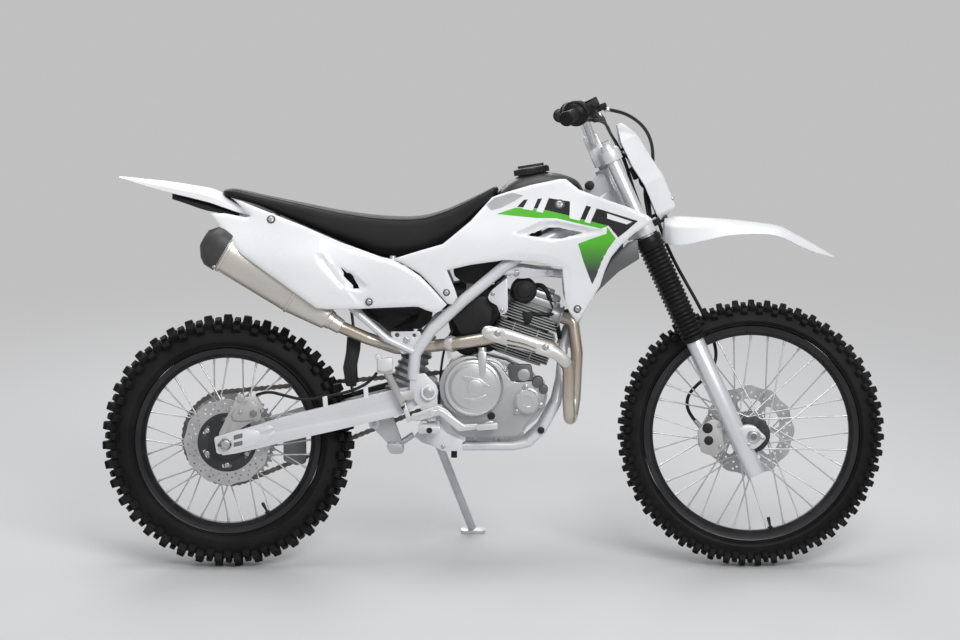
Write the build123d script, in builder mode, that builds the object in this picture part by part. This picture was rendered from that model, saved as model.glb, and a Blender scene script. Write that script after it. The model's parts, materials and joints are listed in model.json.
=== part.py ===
"""An air-cooled single-cylinder dirt bike, parked on its side stand.

The bike is modelled upright: +X forward, +Y to its left, +Z up, with the origin on the ground midway
between the axles. At the end every piece is leaned onto the side stand and the origin moves to the
middle of the underside of the whole object.
"""

from build123d import *
import math
import os

os.makedirs("parts", exist_ok=True)

# ---- Driving dimensions, in millimetres and degrees ----
wheelbase = 1360.0
rake = 24.6
axle_lead = 35.0
clamp_offset = 25.0
leg_spread = 190.0
park_lean = 10.0

front_tyre_radius = 347.0
front_tyre_width = 84.0
front_crown_radius = 48.0
front_bead_radius = 268.0
front_rim_width = 46.0
front_rim_inner_radius = 255.0

rear_tyre_radius = 328.0
rear_tyre_width = 104.0
rear_crown_radius = 58.0
rear_bead_radius = 229.0
rear_rim_width = 60.0
rear_rim_inner_radius = 215.0

tyre_wall = 12.0
rim_wall = 4.0
rim_flange_height = 12.0
seat_gap = 0.3
running_gap = 0.05

# ---- Where the driving dimensions put things ----
front_axle = Vector(wheelbase / 2, 0, front_tyre_radius)
rear_axle = Vector(-wheelbase / 2, 0, rear_tyre_radius)
fork_up = Vector(-math.sin(math.radians(rake)), 0, math.cos(math.radians(rake)))
fork_ahead = Vector(math.cos(math.radians(rake)), 0, math.sin(math.radians(rake)))
leg_side = leg_spread / 2
steering_behind = -(axle_lead + clamp_offset)


def fork_point(along, ahead=0.0, side=0.0):
    """A point measured from the front axle: up the legs, ahead of the axle, and to the left."""
    return front_axle + fork_up * along + fork_ahead * ahead + Vector(0, side, 0)


def across_fork(along, ahead=0.0, side=0.0):
    """A sketch plane square to the fork legs: local x points ahead and local y to the left."""
    return Plane(origin=fork_point(along, ahead, side), x_dir=fork_ahead, z_dir=fork_up)


def around(centre, offsets):
    """Side-view points given by how far ahead of and above a centre each lies."""
    return [(centre.X + ahead, centre.Z + above) for ahead, above in offsets]


def bar(points, radius, bend=0.0, inner_radius=0.0, mode=Mode.ADD):
    """Sweep a round bar or tube along straight runs joined by tangent arcs."""
    with BuildLine() as path:
        if len(points) > 2:
            FilletPolyline(*points, radius=bend)
        else:
            Line(*points)
    with BuildSketch(Plane(origin=path.line @ 0, z_dir=path.line % 0)) as section:
        Circle(radius)
        if inner_radius > 0:
            Circle(inner_radius, mode=Mode.SUBTRACT)
    sweep(sections=section.sketch, path=path.line, mode=mode)


def side_plate(points, inner, outer, corner=0.0, mode=Mode.ADD):
    """A flat plate seen from the side, from inner to outer millimetres right of the middle plane."""
    with BuildSketch(Plane.XZ.offset(inner)) as outline:
        with BuildLine():
            Polyline(*points, close=True)
        make_face()
        if corner > 0:
            fillet(outline.vertices(), corner)
    extrude(outline.sketch, amount=outer - inner, mode=mode)


def round_across(centre, radius, start, end, hole_radius=0.0, mode=Mode.ADD):
    """A round boss or pin lying across the bike, from y = start to y = end."""
    with BuildSketch(Plane(origin=(centre.X, start, centre.Z), x_dir=(1, 0, 0), z_dir=(0, 1, 0))) as ring:
        Circle(radius)
        if hole_radius > 0:
            Circle(hole_radius, mode=Mode.SUBTRACT)
    extrude(ring.sketch, amount=end - start, mode=mode)


# ==== Wheels ====
spokes_per_type = 9
spoke_radius = 1.9
spoke_flange_radius = 36.0
spoke_flange_side = 38.0
spoke_flange_width = 14.0
spoke_stagger = 4.6
spoke_sweep = 74.0
spoke_rim_side = 5.0
hub_barrel_radius = 24.0
front_axle_radius = 8.0
rear_axle_radius = 9.0
axle_bore_radius = 5.0
disc_thickness = 4.0
front_disc_radius = 119.0
rear_disc_radius = 113.0
disc_ring_width = 34.0
disc_side = 60.0
chain_side = 67.0
sprocket_thickness = 7.0
sprocket_teeth = 48
chain_pitch = 15.875
sprocket_pitch_radius = chain_pitch / 2 / math.sin(math.pi / sprocket_teeth)


def tyre_ring(axle, radius, width, crown, bead_radius, rim_width):
    """Revolve a hollow tyre whose envelope reaches the tips of its knobs."""
    crown_centre = radius - crown
    shoulder = crown_centre + math.sqrt(crown ** 2 - (width / 2) ** 2)
    crown_turn = math.atan2(width / 2, shoulder - crown_centre) / 2
    crown_mid = (crown_centre + crown * math.cos(crown_turn), crown * math.sin(crown_turn))
    seat_side = rim_width / 2 - rim_wall - seat_gap
    flange_top = bead_radius + rim_flange_height + seat_gap * 2
    bulge = (crown_centre, width / 2 - tyre_wall / 4)
    with BuildSketch(Plane(origin=axle, x_dir=(1, 0, 0), z_dir=(0, 0, 1))) as half:
        with BuildLine():
            ThreePointArc((radius, 0), crown_mid, (shoulder, width / 2))
            Polyline(
                (shoulder, width / 2),
                bulge,
                (flange_top, rim_width / 2),
                (flange_top, seat_side),
                (bead_radius + seat_gap, seat_side),
                (bead_radius + seat_gap, seat_side - tyre_wall),
                (flange_top, seat_side - tyre_wall),
                (crown_centre, width / 2 - tyre_wall),
                (radius - crown / 2, width / 4),
                (radius - tyre_wall * 2, 0),
                (radius, 0),
            )
        make_face()
    revolve(half.sketch, axis=Axis(axle, (0, 1, 0)))
    mirror(about=Plane.XZ)


def rim_ring(axle, inner_radius, bead_radius, rim_width):
    """Revolve an aluminium rim: a deep centre, two bead seats and two flanges."""
    half_width = rim_width / 2
    with BuildSketch(Plane(origin=axle, x_dir=(1, 0, 0), z_dir=(0, 0, 1))) as section:
        with BuildLine():
            Polyline(
                (inner_radius, 0),
                (inner_radius, half_width / 2),
                (bead_radius - rim_wall, half_width),
                (bead_radius + rim_flange_height, half_width),
                (bead_radius + rim_flange_height, half_width - rim_wall),
                (bead_radius, half_width - rim_wall),
                (bead_radius, half_width - rim_wall * 2),
                (inner_radius + rim_wall, half_width / 3),
                (inner_radius + rim_wall, 0),
                close=True,
            )
        make_face()
    revolve(section.sketch, axis=Axis(axle, (0, 1, 0)))
    mirror(about=Plane.XZ)


def spoke(side_sign, lean_sign, rim_inner_radius, turn):
    """One straight spoke of a wheel lying in the XY plane, from the hub flange to the rim."""
    start_radius = spoke_flange_radius + spoke_radius + seat_gap
    start_turn = math.radians(turn + lean_sign * spoke_sweep)
    end_turn = math.radians(turn)
    end_radius = rim_inner_radius - seat_gap - spoke_radius * 0.3
    start_side = side_sign * (spoke_flange_side + lean_sign * spoke_stagger)
    start = Vector(start_radius * math.cos(start_turn), start_radius * math.sin(start_turn), start_side)
    end = Vector(end_radius * math.cos(end_turn), end_radius * math.sin(end_turn), side_sign * spoke_rim_side)
    return [start, end]


def wheel_plane(axle):
    """The middle plane of a wheel: local z points to the bike's left."""
    return Plane(origin=axle, x_dir=(1, 0, 0), z_dir=(0, 1, 0))


def spoke_set(rim_inner_radius):
    """The four kinds of spoke of one wheel, each leaned its own way, round the origin."""
    step = 360 / (4 * spokes_per_type)
    with BuildPart() as spokes:
        for kind, (side_sign, lean_sign) in enumerate(((1, 1), (-1, 1), (1, -1), (-1, -1))):
            for turn in range(spokes_per_type):
                bar(spoke(side_sign, lean_sign, rim_inner_radius, kind * step + turn * 4 * step), spoke_radius)
    return spokes.part


def hub(axle, bore_radius, disc_sign, far_side, far_radius):
    """A wheel hub: barrel, two spoke flanges, the disc seat, and what the other side carries."""
    barrel_end = spoke_flange_side + spoke_flange_width / 2
    round_across(axle, hub_barrel_radius, -barrel_end, barrel_end)
    for side in (-spoke_flange_side, spoke_flange_side):
        round_across(axle, spoke_flange_radius, side - spoke_flange_width / 2, side + spoke_flange_width / 2)
    disc_face = disc_sign * (disc_side - seat_gap)
    round_across(axle, spoke_flange_radius, min(0, disc_face), max(0, disc_face))
    round_across(axle, far_radius, min(-disc_sign * barrel_end, far_side), max(-disc_sign * barrel_end, far_side))
    round_across(axle, bore_radius, -wheelbase, wheelbase, mode=Mode.SUBTRACT)


def brake_disc(axle, radius, side):
    """A flat disc on six bolts: outer ring, spokes and carrier in one plate."""
    start = side if side > 0 else side - disc_thickness
    round_across(axle, radius, start, start + disc_thickness, hole_radius=hub_barrel_radius)


with BuildPart() as front_tyre:
    tyre_ring(front_axle, front_tyre_radius, front_tyre_width, front_crown_radius, front_bead_radius, front_rim_width)

with BuildPart() as rear_tyre:
    tyre_ring(rear_axle, rear_tyre_radius, rear_tyre_width, rear_crown_radius, rear_bead_radius, rear_rim_width)

with BuildPart() as front_rim:
    rim_ring(front_axle, front_rim_inner_radius, front_bead_radius, front_rim_width)

with BuildPart() as rear_rim:
    rim_ring(rear_axle, rear_rim_inner_radius, rear_bead_radius, rear_rim_width)

with BuildPart(wheel_plane(front_axle)) as front_spokes:
    add(spoke_set(front_rim_inner_radius))

with BuildPart(wheel_plane(rear_axle)) as rear_spokes:
    add(spoke_set(rear_rim_inner_radius))

sprocket_inner_face = chain_side - sprocket_thickness / 2
with BuildPart() as front_hub:
    hub(front_axle, front_axle_radius + running_gap, 1, -disc_side, hub_barrel_radius)

with BuildPart() as rear_hub:
    hub(rear_axle, rear_axle_radius + running_gap, -1, sprocket_inner_face - seat_gap, spoke_flange_radius)

with BuildPart() as front_brake_disc:
    brake_disc(front_axle, front_disc_radius, disc_side)

with BuildPart() as rear_brake_disc:
    brake_disc(rear_axle, rear_disc_radius, -disc_side)

tooth_height = 5.0
with BuildPart() as rear_sprocket:
    with BuildSketch(wheel_plane(rear_axle + Vector(0, sprocket_inner_face, 0))) as sprocket_face:
        Circle(sprocket_pitch_radius - tooth_height)
        with PolarLocations(sprocket_pitch_radius - tooth_height, sprocket_teeth):
            RegularPolygon(radius=tooth_height, side_count=4)
        Circle(hub_barrel_radius, mode=Mode.SUBTRACT)
        with PolarLocations(sprocket_pitch_radius * 0.68, 6):
            Circle(sprocket_pitch_radius * 0.2, mode=Mode.SUBTRACT)
    extrude(amount=sprocket_thickness)

# ==== Side stand ====
lean_turn = math.radians(park_lean)


def standing_height(axle, crown):
    """The height of the upright frame's origin over the ground, as the leaned wheel sets it."""
    return (axle.Z - crown) * math.cos(lean_turn) + crown - axle.Z * math.cos(lean_turn)


origin_height = max(standing_height(front_axle, front_crown_radius), standing_height(rear_axle, rear_crown_radius))


def ground_under(side):
    """The leaned ground's height in the upright frame, at a distance to the left."""
    return side * math.tan(lean_turn) - origin_height / math.cos(lean_turn)


stand_pivot = Vector(-140, 122, 322)
stand_foot_side = 300.0
stand_foot_thickness = 8.0
stand_foot = Vector(-44, stand_foot_side, ground_under(stand_foot_side))
stand_stowed = Vector(-0.958, 0.066, -0.278).normalized()
stand_leg_radius = 11.0
stand_pin_radius = 6.0
foot_up = Vector(0, -math.sin(lean_turn), math.cos(lean_turn))
stand_leg = (stand_foot - stand_pivot).normalized()
stand_axis = stand_leg.cross(stand_stowed).normalized()
stand_turn = math.degrees(math.acos(stand_leg.dot(stand_stowed)))


def across_stand(offset):
    """A sketch plane square to the stand's hinge pin."""
    return Plane(origin=stand_pivot + stand_axis * offset, x_dir=stand_leg, z_dir=stand_axis)


with BuildPart() as side_stand:
    bar([stand_pivot + stand_leg * 24, stand_foot + foot_up * stand_foot_thickness / 2 - stand_leg * 10],
        stand_leg_radius)
    with BuildSketch(across_stand(-7)) as stand_eye:
        Circle(14)
        with Locations((15, 0)):
            Rectangle(30, 18)
    extrude(amount=14)
    with BuildSketch(Plane(origin=stand_foot, x_dir=(1, 0, 0), z_dir=foot_up)) as foot_plate:
        RectangleRounded(64, 44, 12)
    extrude(amount=stand_foot_thickness)
    with BuildSketch(across_stand(-20)) as stand_bore:
        Circle(stand_pin_radius + running_gap)
    extrude(amount=40, mode=Mode.SUBTRACT)

# ==== Main frame ====
head_tube_bottom = 640.0
head_tube_top = 785.0
head_tube_radius = 28.0
stem_radius = 15.0
spar_radius = 15.0
down_tube_radius = 19.0
cradle_radius = 12.5
spar_side = 112.0
cradle_side = 74.0
pivot = Vector(-157, 0, 462)
pivot_pin_radius = 9.0
pivot_plate_inner = 111.5
pivot_plate_outer = 122.0
cradle_bottom = 320.0


def mirrored(points):
    """The same route on the other side of the bike."""
    return [(x, -y, z) for x, y, z in points]


tank_tube = Vector(120, 100, 842)
tank_tube_radius = 10.0
brace_radius = 9.0
cross_tube_radius = 11.0
plate_corner = 6.0
shock_top = Vector(-150, 0, 628)
shock_bottom = Vector(-268, 0, 392)
shock_bolt_radius = 6.0
shock_eye_side = 14.0
shock_ear_inner = shock_eye_side + seat_gap
shock_ear_outer = 21.0


spar_route = [
    (322, 16, 975), (235, 62, 905), (120, 100, 842), (37, 108, 785),
    (-68, spar_side, 698), (-150, spar_side, 622), (-192, spar_side, 560), (-198, spar_side, 495),
]
cradle_route = [
    (192, 6, 580), (184, 50, 486), (172, cradle_side, 430), (134, cradle_side, 360), (98, cradle_side, 327),
    (58, cradle_side, cradle_bottom), (-88, cradle_side, cradle_bottom), (-150, 88, 352), (-150, 90, 420),
]
brace_route = [(28, 106, 772), (150, 66, 766), (262, 8, 752)]
pivot_plate_outline = [
    (-205, 505), (-168, 512), (-137, 480), (-134, 430), (-138, 390), (-158, 386), (-178, 420), (-206, 462),
]
lower_bracket_outline = [(-134, 392), (-112, 356), (-70, 336), (-70, 309), (-122, 309), (-164, 334), (-158, 388)]

with BuildPart() as main_frame:
    with BuildSketch(across_fork(head_tube_bottom, steering_behind)) as head_ring:
        Circle(head_tube_radius)
    extrude(amount=head_tube_top - head_tube_bottom)
    bar([fork_point(690, steering_behind - 6), (192, 0, 575)], down_tube_radius)
    for route in (spar_route, mirrored(spar_route)):
        bar(route, spar_radius, 24)
    for route in (cradle_route, mirrored(cradle_route)):
        bar(route, cradle_radius, 18)
    for route in (brace_route, mirrored(brace_route)):
        bar(route, brace_radius, 20)
    side_plate(pivot_plate_outline, pivot_plate_inner, pivot_plate_outer, plate_corner)
    side_plate(pivot_plate_outline, -pivot_plate_outer, -pivot_plate_inner, plate_corner)
    side_plate(lower_bracket_outline, 92, 104, 5)
    side_plate(lower_bracket_outline, -104, -92, 5)
    for side in (-1, 1):
        round_across(Vector(-150, 0, 400), 12, side * 98, side * 116)
    # cross tubes: over the intake, above the shock with its two ears, and under the engine
    bar([(2, -spar_side, 756), (2, spar_side, 756)], cross_tube_radius)
    bar([(-126, -spar_side, 650), (-126, spar_side, 650)], cross_tube_radius)
    bar([tank_tube, Vector(tank_tube.X, -tank_tube.Y, tank_tube.Z)], tank_tube_radius)
    for inner, outer in ((shock_ear_inner, shock_ear_outer), (-shock_ear_outer, -shock_ear_inner)):
        side_plate([(-134, 664), (-116, 650), (-136, 614), (-158, 612), (-166, 632)], inner, outer, 6)
    round_across(shock_top, shock_bolt_radius + running_gap, -shock_ear_outer - 1, shock_ear_outer + 1,
                 mode=Mode.SUBTRACT)
    bar([(-120, -cradle_side, cradle_bottom), (-120, cradle_side, cradle_bottom)], 12)
    bar([(20, -cradle_side, cradle_bottom), (20, cradle_side, cradle_bottom)], 8)
    # the side stand's two ears and its pin
    for low, high in ((-16, -7 - seat_gap), (7 + seat_gap, 16)):
        with BuildSketch(across_stand(low)) as ear:
            Circle(18)
        extrude(amount=high - low)
    with BuildSketch(across_stand(-20)) as stand_pin:
        Circle(stand_pin_radius)
    extrude(amount=40)
    # lug that carries the rear linkage
    side_plate([(-128, 332), (-128, 308), (-176, 322), (-196, 338), (-180, 358)], -12, 12, 5)
    with BuildSketch(across_fork(head_tube_bottom - 50, steering_behind)) as stem_bore:
        Circle(stem_radius + running_gap)
    extrude(amount=head_tube_top - head_tube_bottom + 100, mode=Mode.SUBTRACT)
    round_across(pivot, pivot_pin_radius + running_gap, -wheelbase / 4, wheelbase / 4, mode=Mode.SUBTRACT)

# ==== Seat rails ====
upper_rail_route = [
    (22, 84, 806), (-90, 76, 800), (-250, 84, 776), (-400, 84, 812), (-560, 76, 864), (-655, 60, 900),
]
lower_rail_route = [(-196, 118, 566), (-262, 118, 598), (-352, 112, 676), (-460, 92, 792), (-520, 84, 846)]
with BuildPart() as seat_rails:
    for route in (upper_rail_route, mirrored(upper_rail_route)):
        bar(route, 9.5, 30)
    for route in (lower_rail_route, mirrored(lower_rail_route)):
        bar(route, 9, 18)
    bar([(-540, -78, 857), (-540, 78, 857)], 8)
    bar([(-90, -76, 800), (-90, 76, 800)], 8)
    # four posts under the seat
    for side in (-1, 1):
        bar([(-250, side * 84, 776), (-250, side * 84, 812.5 - seat_gap)], 8)
        bar([(-560, side * 76, 864), (-560, side * 76, 921.8 - seat_gap)], 8)
    for route in (spar_route, mirrored(spar_route)):
        bar(route, spar_radius + seat_gap, 24, mode=Mode.SUBTRACT)

# ==== Engine ====
crankcase_outline = [
    (-118, 430), (-118, 500), (-96, 540), (-30, 560), (44, 540), (112, 504), (146, 455), (144, 421),
    (122, 390), (76, 354), (-80, 342),
]
clutch_centre = Vector(-50, 0, 476)
clutch_radius = 79.0
case_side = 78.0
cover_side = 116.0
cover_boss_side = 128.0
stator_centre = Vector(30, 0, 448)
stator_radius = 72.0
front_sprocket = Vector(-94, 0, 470)
front_sprocket_radius = 32.0
chain_half_height = 8.0
chain_half_width = 8.5
chain_groove_height = 3.0
chain_groove_width = sprocket_thickness + 3
with BuildPart() as crankcase:
    side_plate(crankcase_outline, -case_side, case_side, 12)
    side_plate([(-92, 352), (-126, 420), (-110, 536), (30, 532), (122, 474), (142, 440), (118, 388), (76, 356)],
               case_side, cover_side - 18, 14)
    round_across(clutch_centre, clutch_radius, -cover_side, -case_side)
    round_across(clutch_centre, clutch_radius * 0.72, -cover_boss_side, -cover_side)
    round_across(Vector(98, 0, 437), 32, -cover_side, -case_side)
    round_across(Vector(88, 0, 506), 16, -cover_side + 6, -case_side)
    side_plate([(-92, 352), (-120, 420), (-104, 536), (30, 532), (122, 474), (142, 440), (118, 388), (76, 356)],
               -cover_side + 26, -case_side, 14)
    round_across(stator_centre, stator_radius, case_side, cover_side - 4)
    side_plate([(-150, 416), (-150, 524), (-48, 524), (-48, 416)], -case_side - 1, -chain_side + 15,
               mode=Mode.SUBTRACT)
    round_across(Vector(-84, 0, 470), 42, case_side, cover_side - 12)
    # four feet on the cradle tubes, and the small sprocket on its shaft
    for start in (-60, 24):
        for side in (-1, 1):
            near, far = sorted((side * (cradle_side - 8), side * case_side))
            side_plate([(start, 356), (start + 26, 356), (start + 26, cradle_bottom + cradle_radius + seat_gap),
                        (start, cradle_bottom + cradle_radius + seat_gap)], near, far)
    half_tooth = chain_groove_width / 2 - seat_gap
    round_across(front_sprocket, 12, case_side - 28, chain_side)
    round_across(front_sprocket, front_sprocket_radius + chain_groove_height - seat_gap,
                 chain_side - half_tooth, chain_side + half_tooth)

cylinder_lean = 19.0
cylinder_base = Vector(70, 0, 545)
cylinder_up = Vector(math.sin(math.radians(cylinder_lean)), 0, math.cos(math.radians(cylinder_lean)))
cylinder_ahead = Vector(math.cos(math.radians(cylinder_lean)), 0, -math.sin(math.radians(cylinder_lean)))
fin_pitch = 10.5
fin_thickness = 3.2
cylinder_fins = 8
barrel_height = 92.0
head_height = 104.0
fin_length = 150.0
fin_width = 136.0


def across_cylinder(height):
    """A sketch plane square to the cylinder, at a height above the crankcase."""
    return Plane(origin=cylinder_base + cylinder_up * height, x_dir=cylinder_ahead, z_dir=cylinder_up)


def block(height, thickness, length, width, corner, shift=0.0):
    """A rounded block square to the cylinder."""
    with BuildSketch(across_cylinder(height)) as section:
        with Locations((shift, 0)):
            RectangleRounded(length, width, corner)
    extrude(section.sketch, amount=thickness)


port_height = 138.0
port_radius = 24.0
exhaust_port_side = -40.0
exhaust_port_reach = 76.0
intake_port_reach = 74.0


def port_point(ahead, side):
    """A point on a port's axis, ahead of the cylinder's own axis."""
    return cylinder_base + cylinder_up * port_height + cylinder_ahead * ahead + Vector(0, side, 0)


with BuildPart() as cylinder:
    block(0, barrel_height - seat_gap, 108, 104, 30)
    for fin in range(cylinder_fins):
        block(6 + fin * fin_pitch, fin_thickness, fin_length, fin_width, 20)

with BuildPart() as cylinder_head:
    block(barrel_height, 58, 112, 108, 24)
    for fin in range(5):
        block(barrel_height + 3 + fin * fin_pitch, fin_thickness, fin_length - 8, fin_width, 20)
    block(barrel_height + 58, 36, 122, 112, 20)
    block(barrel_height + 94, 10, 78, 60, 14)
    for direction, reach in ((1, exhaust_port_reach), (-1, intake_port_reach)):
        with BuildSketch(Plane(origin=port_point(direction * 50, exhaust_port_side if direction > 0 else 0),
                               z_dir=cylinder_ahead * direction)) as port:
            Circle(port_radius)
        extrude(amount=reach - 50)
    # round cam-chain cover on the right
    with BuildSketch(Plane(origin=cylinder_base + cylinder_up * 150 + Vector(0, -50, 0),
                           x_dir=(1, 0, 0), z_dir=(0, -1, 0))) as cam_cover:
        RegularPolygon(radius=31, side_count=8)
    extrude(amount=34)

intake_port = port_point(-intake_port_reach - seat_gap, 0)
airbox_outline = [
    (-352, 800), (-352, 690), (-318, 664), (-134, 668), (-124, 700), (-118, 786), (-240, 764),
]
electrics_outline = [(-330, 680), (-262, 616), (-200, 616), (-172, 680)]
with BuildPart() as intake:
    side_plate(airbox_outline, -60, 60, 10)
    side_plate(electrics_outline, 40, 70, 6)
    bar([(-126, 0, 712), (-70, 0, 714), intake_port - cylinder_ahead * 30, intake_port], 24, 40)
    with BuildSketch(Plane.YZ.offset(-62)) as throttle_body:
        with Locations((0, 713)):
            Circle(32)
    extrude(amount=34)
    side_plate([(-44, 722), (0, 722), (0, 682), (-44, 682)], 20, 50, 6)

# ==== Exhaust ====
header_radius = 16.0
muffler_start = Vector(-416, -108, 650)
muffler_turn = 31.0
muffler_back = Vector(-math.cos(math.radians(muffler_turn)), 0, math.sin(math.radians(muffler_turn)))
muffler_up = Vector(math.sin(math.radians(muffler_turn)), 0, math.cos(math.radians(muffler_turn)))
header_route = [
    port_point(exhaust_port_reach + seat_gap, exhaust_port_side),
    port_point(exhaust_port_reach + 30, exhaust_port_side), (226, -48, 560), (220, -50, 440), (212, -62, 392),
    (206, -100, 392), (203, -118, 440), (203, -118, 530), (158, -124, 580), (20, -126, 606),
    (-70, -116, 590), (-138, -80, 580), (-236, -76, 572), (-318, -88, 600),
    muffler_start - muffler_back * 40, muffler_start - muffler_back * seat_gap,
]
header_bends = [20, 60, 60, 20, 20, 20, 40, 24, 60, 60, 45, 55, 50, 60]
cone_length = 104.0
muffler_length = 205.0
end_cap_length = 44.0
muffler_width = 80.0
hanger_inner = 77.5 + 9.5 + seat_gap
muffler_height = 100.0


def across_muffler(back, rise=0.0):
    """A sketch plane square to the muffler: local x points to the bike's left, local y up."""
    return Plane(origin=muffler_start + muffler_back * back + muffler_up * rise,
                 x_dir=(0, 1, 0), z_dir=muffler_back)


with BuildPart() as exhaust_header:
    with BuildLine() as header_path:
        FilletPolyline(*header_route, radius=header_bends)
    with BuildSketch(Plane(origin=header_path.line @ 0, z_dir=header_path.line % 0)) as header_section:
        Circle(header_radius)
    sweep(sections=header_section.sketch, path=header_path.line)

shield_inner = 145.0
shield_outer = 149.0
with BuildPart() as header_heat_shield:
    side_plate([(-25, 622), (-8, 632), (26, 628), (128, 600), (182, 572), (206, 540), (198, 524),
                (160, 548), (112, 566), (26, 584), (-20, 598)], shield_inner, shield_outer, 6)
    for place in ((19, 606), (140, 582)):
        round_across(Vector(place[0], 0, place[1]), 6, -shield_inner, -126 - header_radius - seat_gap)

with BuildPart() as muffler:
    with BuildSketch(across_muffler(0)) as cone_start:
        Circle(header_radius + 3)
    with BuildSketch(across_muffler(cone_length, 12)) as cone_end:
        Ellipse(muffler_width / 2, muffler_height / 2)
    loft()
    with BuildSketch(across_muffler(cone_length, 12)) as body_section:
        Ellipse(muffler_width / 2, muffler_height / 2)
    extrude(amount=muffler_length)
    # hanger plate that bolts to the outside of the seat rail
    side_plate([(-556, 780), (-530, 780), (-530, 866), (-556, 866)], hanger_inner, hanger_inner + 4, 5)

outlet_bore_radius = 14.0
with BuildPart() as muffler_end_cap:
    with BuildSketch(across_muffler(cone_length + muffler_length + seat_gap, 12)) as cap_section:
        Ellipse(muffler_width / 2 + 3, muffler_height / 2 + 3)
    extrude(amount=end_cap_length, taper=14)
    with BuildSketch(across_muffler(cone_length + muffler_length + end_cap_length, 0)) as outlet:
        Circle(outlet_bore_radius)
    extrude(amount=-end_cap_length * 0.7, both=False, mode=Mode.SUBTRACT)

# ==== Swingarm, rear axle, suspension ====
arm_inner = 82.0
arm_outer = 108.0
rocker_pivot = Vector(-300, 0, 374)
rocker_pin_radius = 6.0
lug_inner = 26.0
lug_outer = 38.0
arm_outline = around(rear_axle, [(-32, 14), (-10, -30), (25, -25), (84, -12), (146, 4)]) + [
    (-407, 360), (-229, 402), (-182, 430), (-180, 480), (-250, 466), (-381, 434), (-483, 410),
] + around(rear_axle, [(69, 45)])
arm_eye_outline = [(-200, 478), (-200, 440), (-150, 440), (-150, 484)]
arm_bridge_outline = [(-338, 436), (-338, 396), (-302, 392), (-302, 438)]
arm_corner = 5.0
pivot_tube_radius = 24.0
with BuildPart() as swingarm:
    # the weldment's four parts, set apart along its welds: two arms with their eyes, pivot tube and bridge
    for side in (-1, 1):
        near, far = sorted((side * arm_inner, side * arm_outer))
        side_plate(arm_outline, near, far, arm_corner)
        side_plate(arm_eye_outline, near, far)
        eye_near, eye_far = sorted((side * arm_inner, side * (pivot_plate_inner - seat_gap)))
        round_across(pivot, pivot_tube_radius, eye_near, eye_far)
    round_across(pivot, pivot_tube_radius, -arm_inner + seat_gap, arm_inner - seat_gap)
    # bridge ahead of the tyre, and the two lugs under it for the rocker
    side_plate(arm_bridge_outline, -arm_inner + seat_gap, arm_inner - seat_gap, arm_corner)
    for inner, outer in ((lug_inner, lug_outer), (-lug_outer, -lug_inner)):
        side_plate([(-326, 404), (-306, 404), (-284, 376), (-292, 360), (-310, 362)], inner, outer, 4)
    round_across(rocker_pivot, rocker_pin_radius + running_gap, -lug_outer - 1, lug_outer + 1, mode=Mode.SUBTRACT)
    round_across(pivot, pivot_pin_radius + running_gap, -wheelbase / 4, wheelbase / 4, mode=Mode.SUBTRACT)
    round_across(rear_axle, rear_axle_radius + running_gap, -wheelbase / 4, wheelbase / 4, mode=Mode.SUBTRACT)

axle_head_radius = 16.0
with BuildPart() as rear_axle_pin:
    round_across(rear_axle, rear_axle_radius, -arm_outer - 22, arm_outer + 22)
    for side in (-1, 1):
        near, far = sorted((side * (arm_outer + seat_gap), side * (arm_outer + 16)))
        round_across(rear_axle, axle_head_radius, near, far)
    round_across(rear_axle, 14, -arm_inner + seat_gap, -disc_side - disc_thickness - 2)
    round_across(rear_axle, 14, chain_side + 6, arm_inner - seat_gap)
    round_across(rear_axle, axle_bore_radius, -wheelbase / 4, wheelbase / 4, mode=Mode.SUBTRACT)

with BuildPart() as pivot_bolt:
    round_across(pivot, pivot_pin_radius, -pivot_plate_outer - 10, pivot_plate_outer + 10)
    for side in (-1, 1):
        near, far = sorted((side * (pivot_plate_outer + seat_gap), side * (pivot_plate_outer + 12)))
        round_across(pivot, 16, near, far)

rocker_outline = [(-312, 376), (-300, 388), (-268, 408), (-254, 396), (-226, 318), (-240, 300), (-256, 312), (-304, 362)]
with BuildPart() as rear_suspension:
    shock_axis = (shock_bottom - shock_top).normalized()
    bar([shock_top + shock_axis * 10, shock_bottom - shock_axis * 10], 13)
    bar([shock_top + shock_axis * 66, shock_bottom - shock_axis * 40], 33)
    bar([shock_top + shock_axis * 22, shock_top + shock_axis * 66], 25)
    round_across(shock_top, 15, -shock_eye_side, shock_eye_side)
    round_across(shock_top, shock_bolt_radius, -shock_ear_outer - 5, shock_ear_outer + 5)
    round_across(shock_bottom, 13, -12, 12)
    # rocker arm on its pin, and the tie rod
    side_plate(rocker_outline, -24, -14, 6)
    side_plate(rocker_outline, 14, 24, 6)
    round_across(rocker_pivot, rocker_pin_radius, -lug_outer - 4, lug_outer + 4)
    round_across(shock_bottom, 7, -24, 24)
    round_across(Vector(-240, 0, 314), 8, -24, 24)
    bar([(-240, 0, 314), (-198, 0, 342)], 8)

# ==== Chain and chain guide ====


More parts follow.
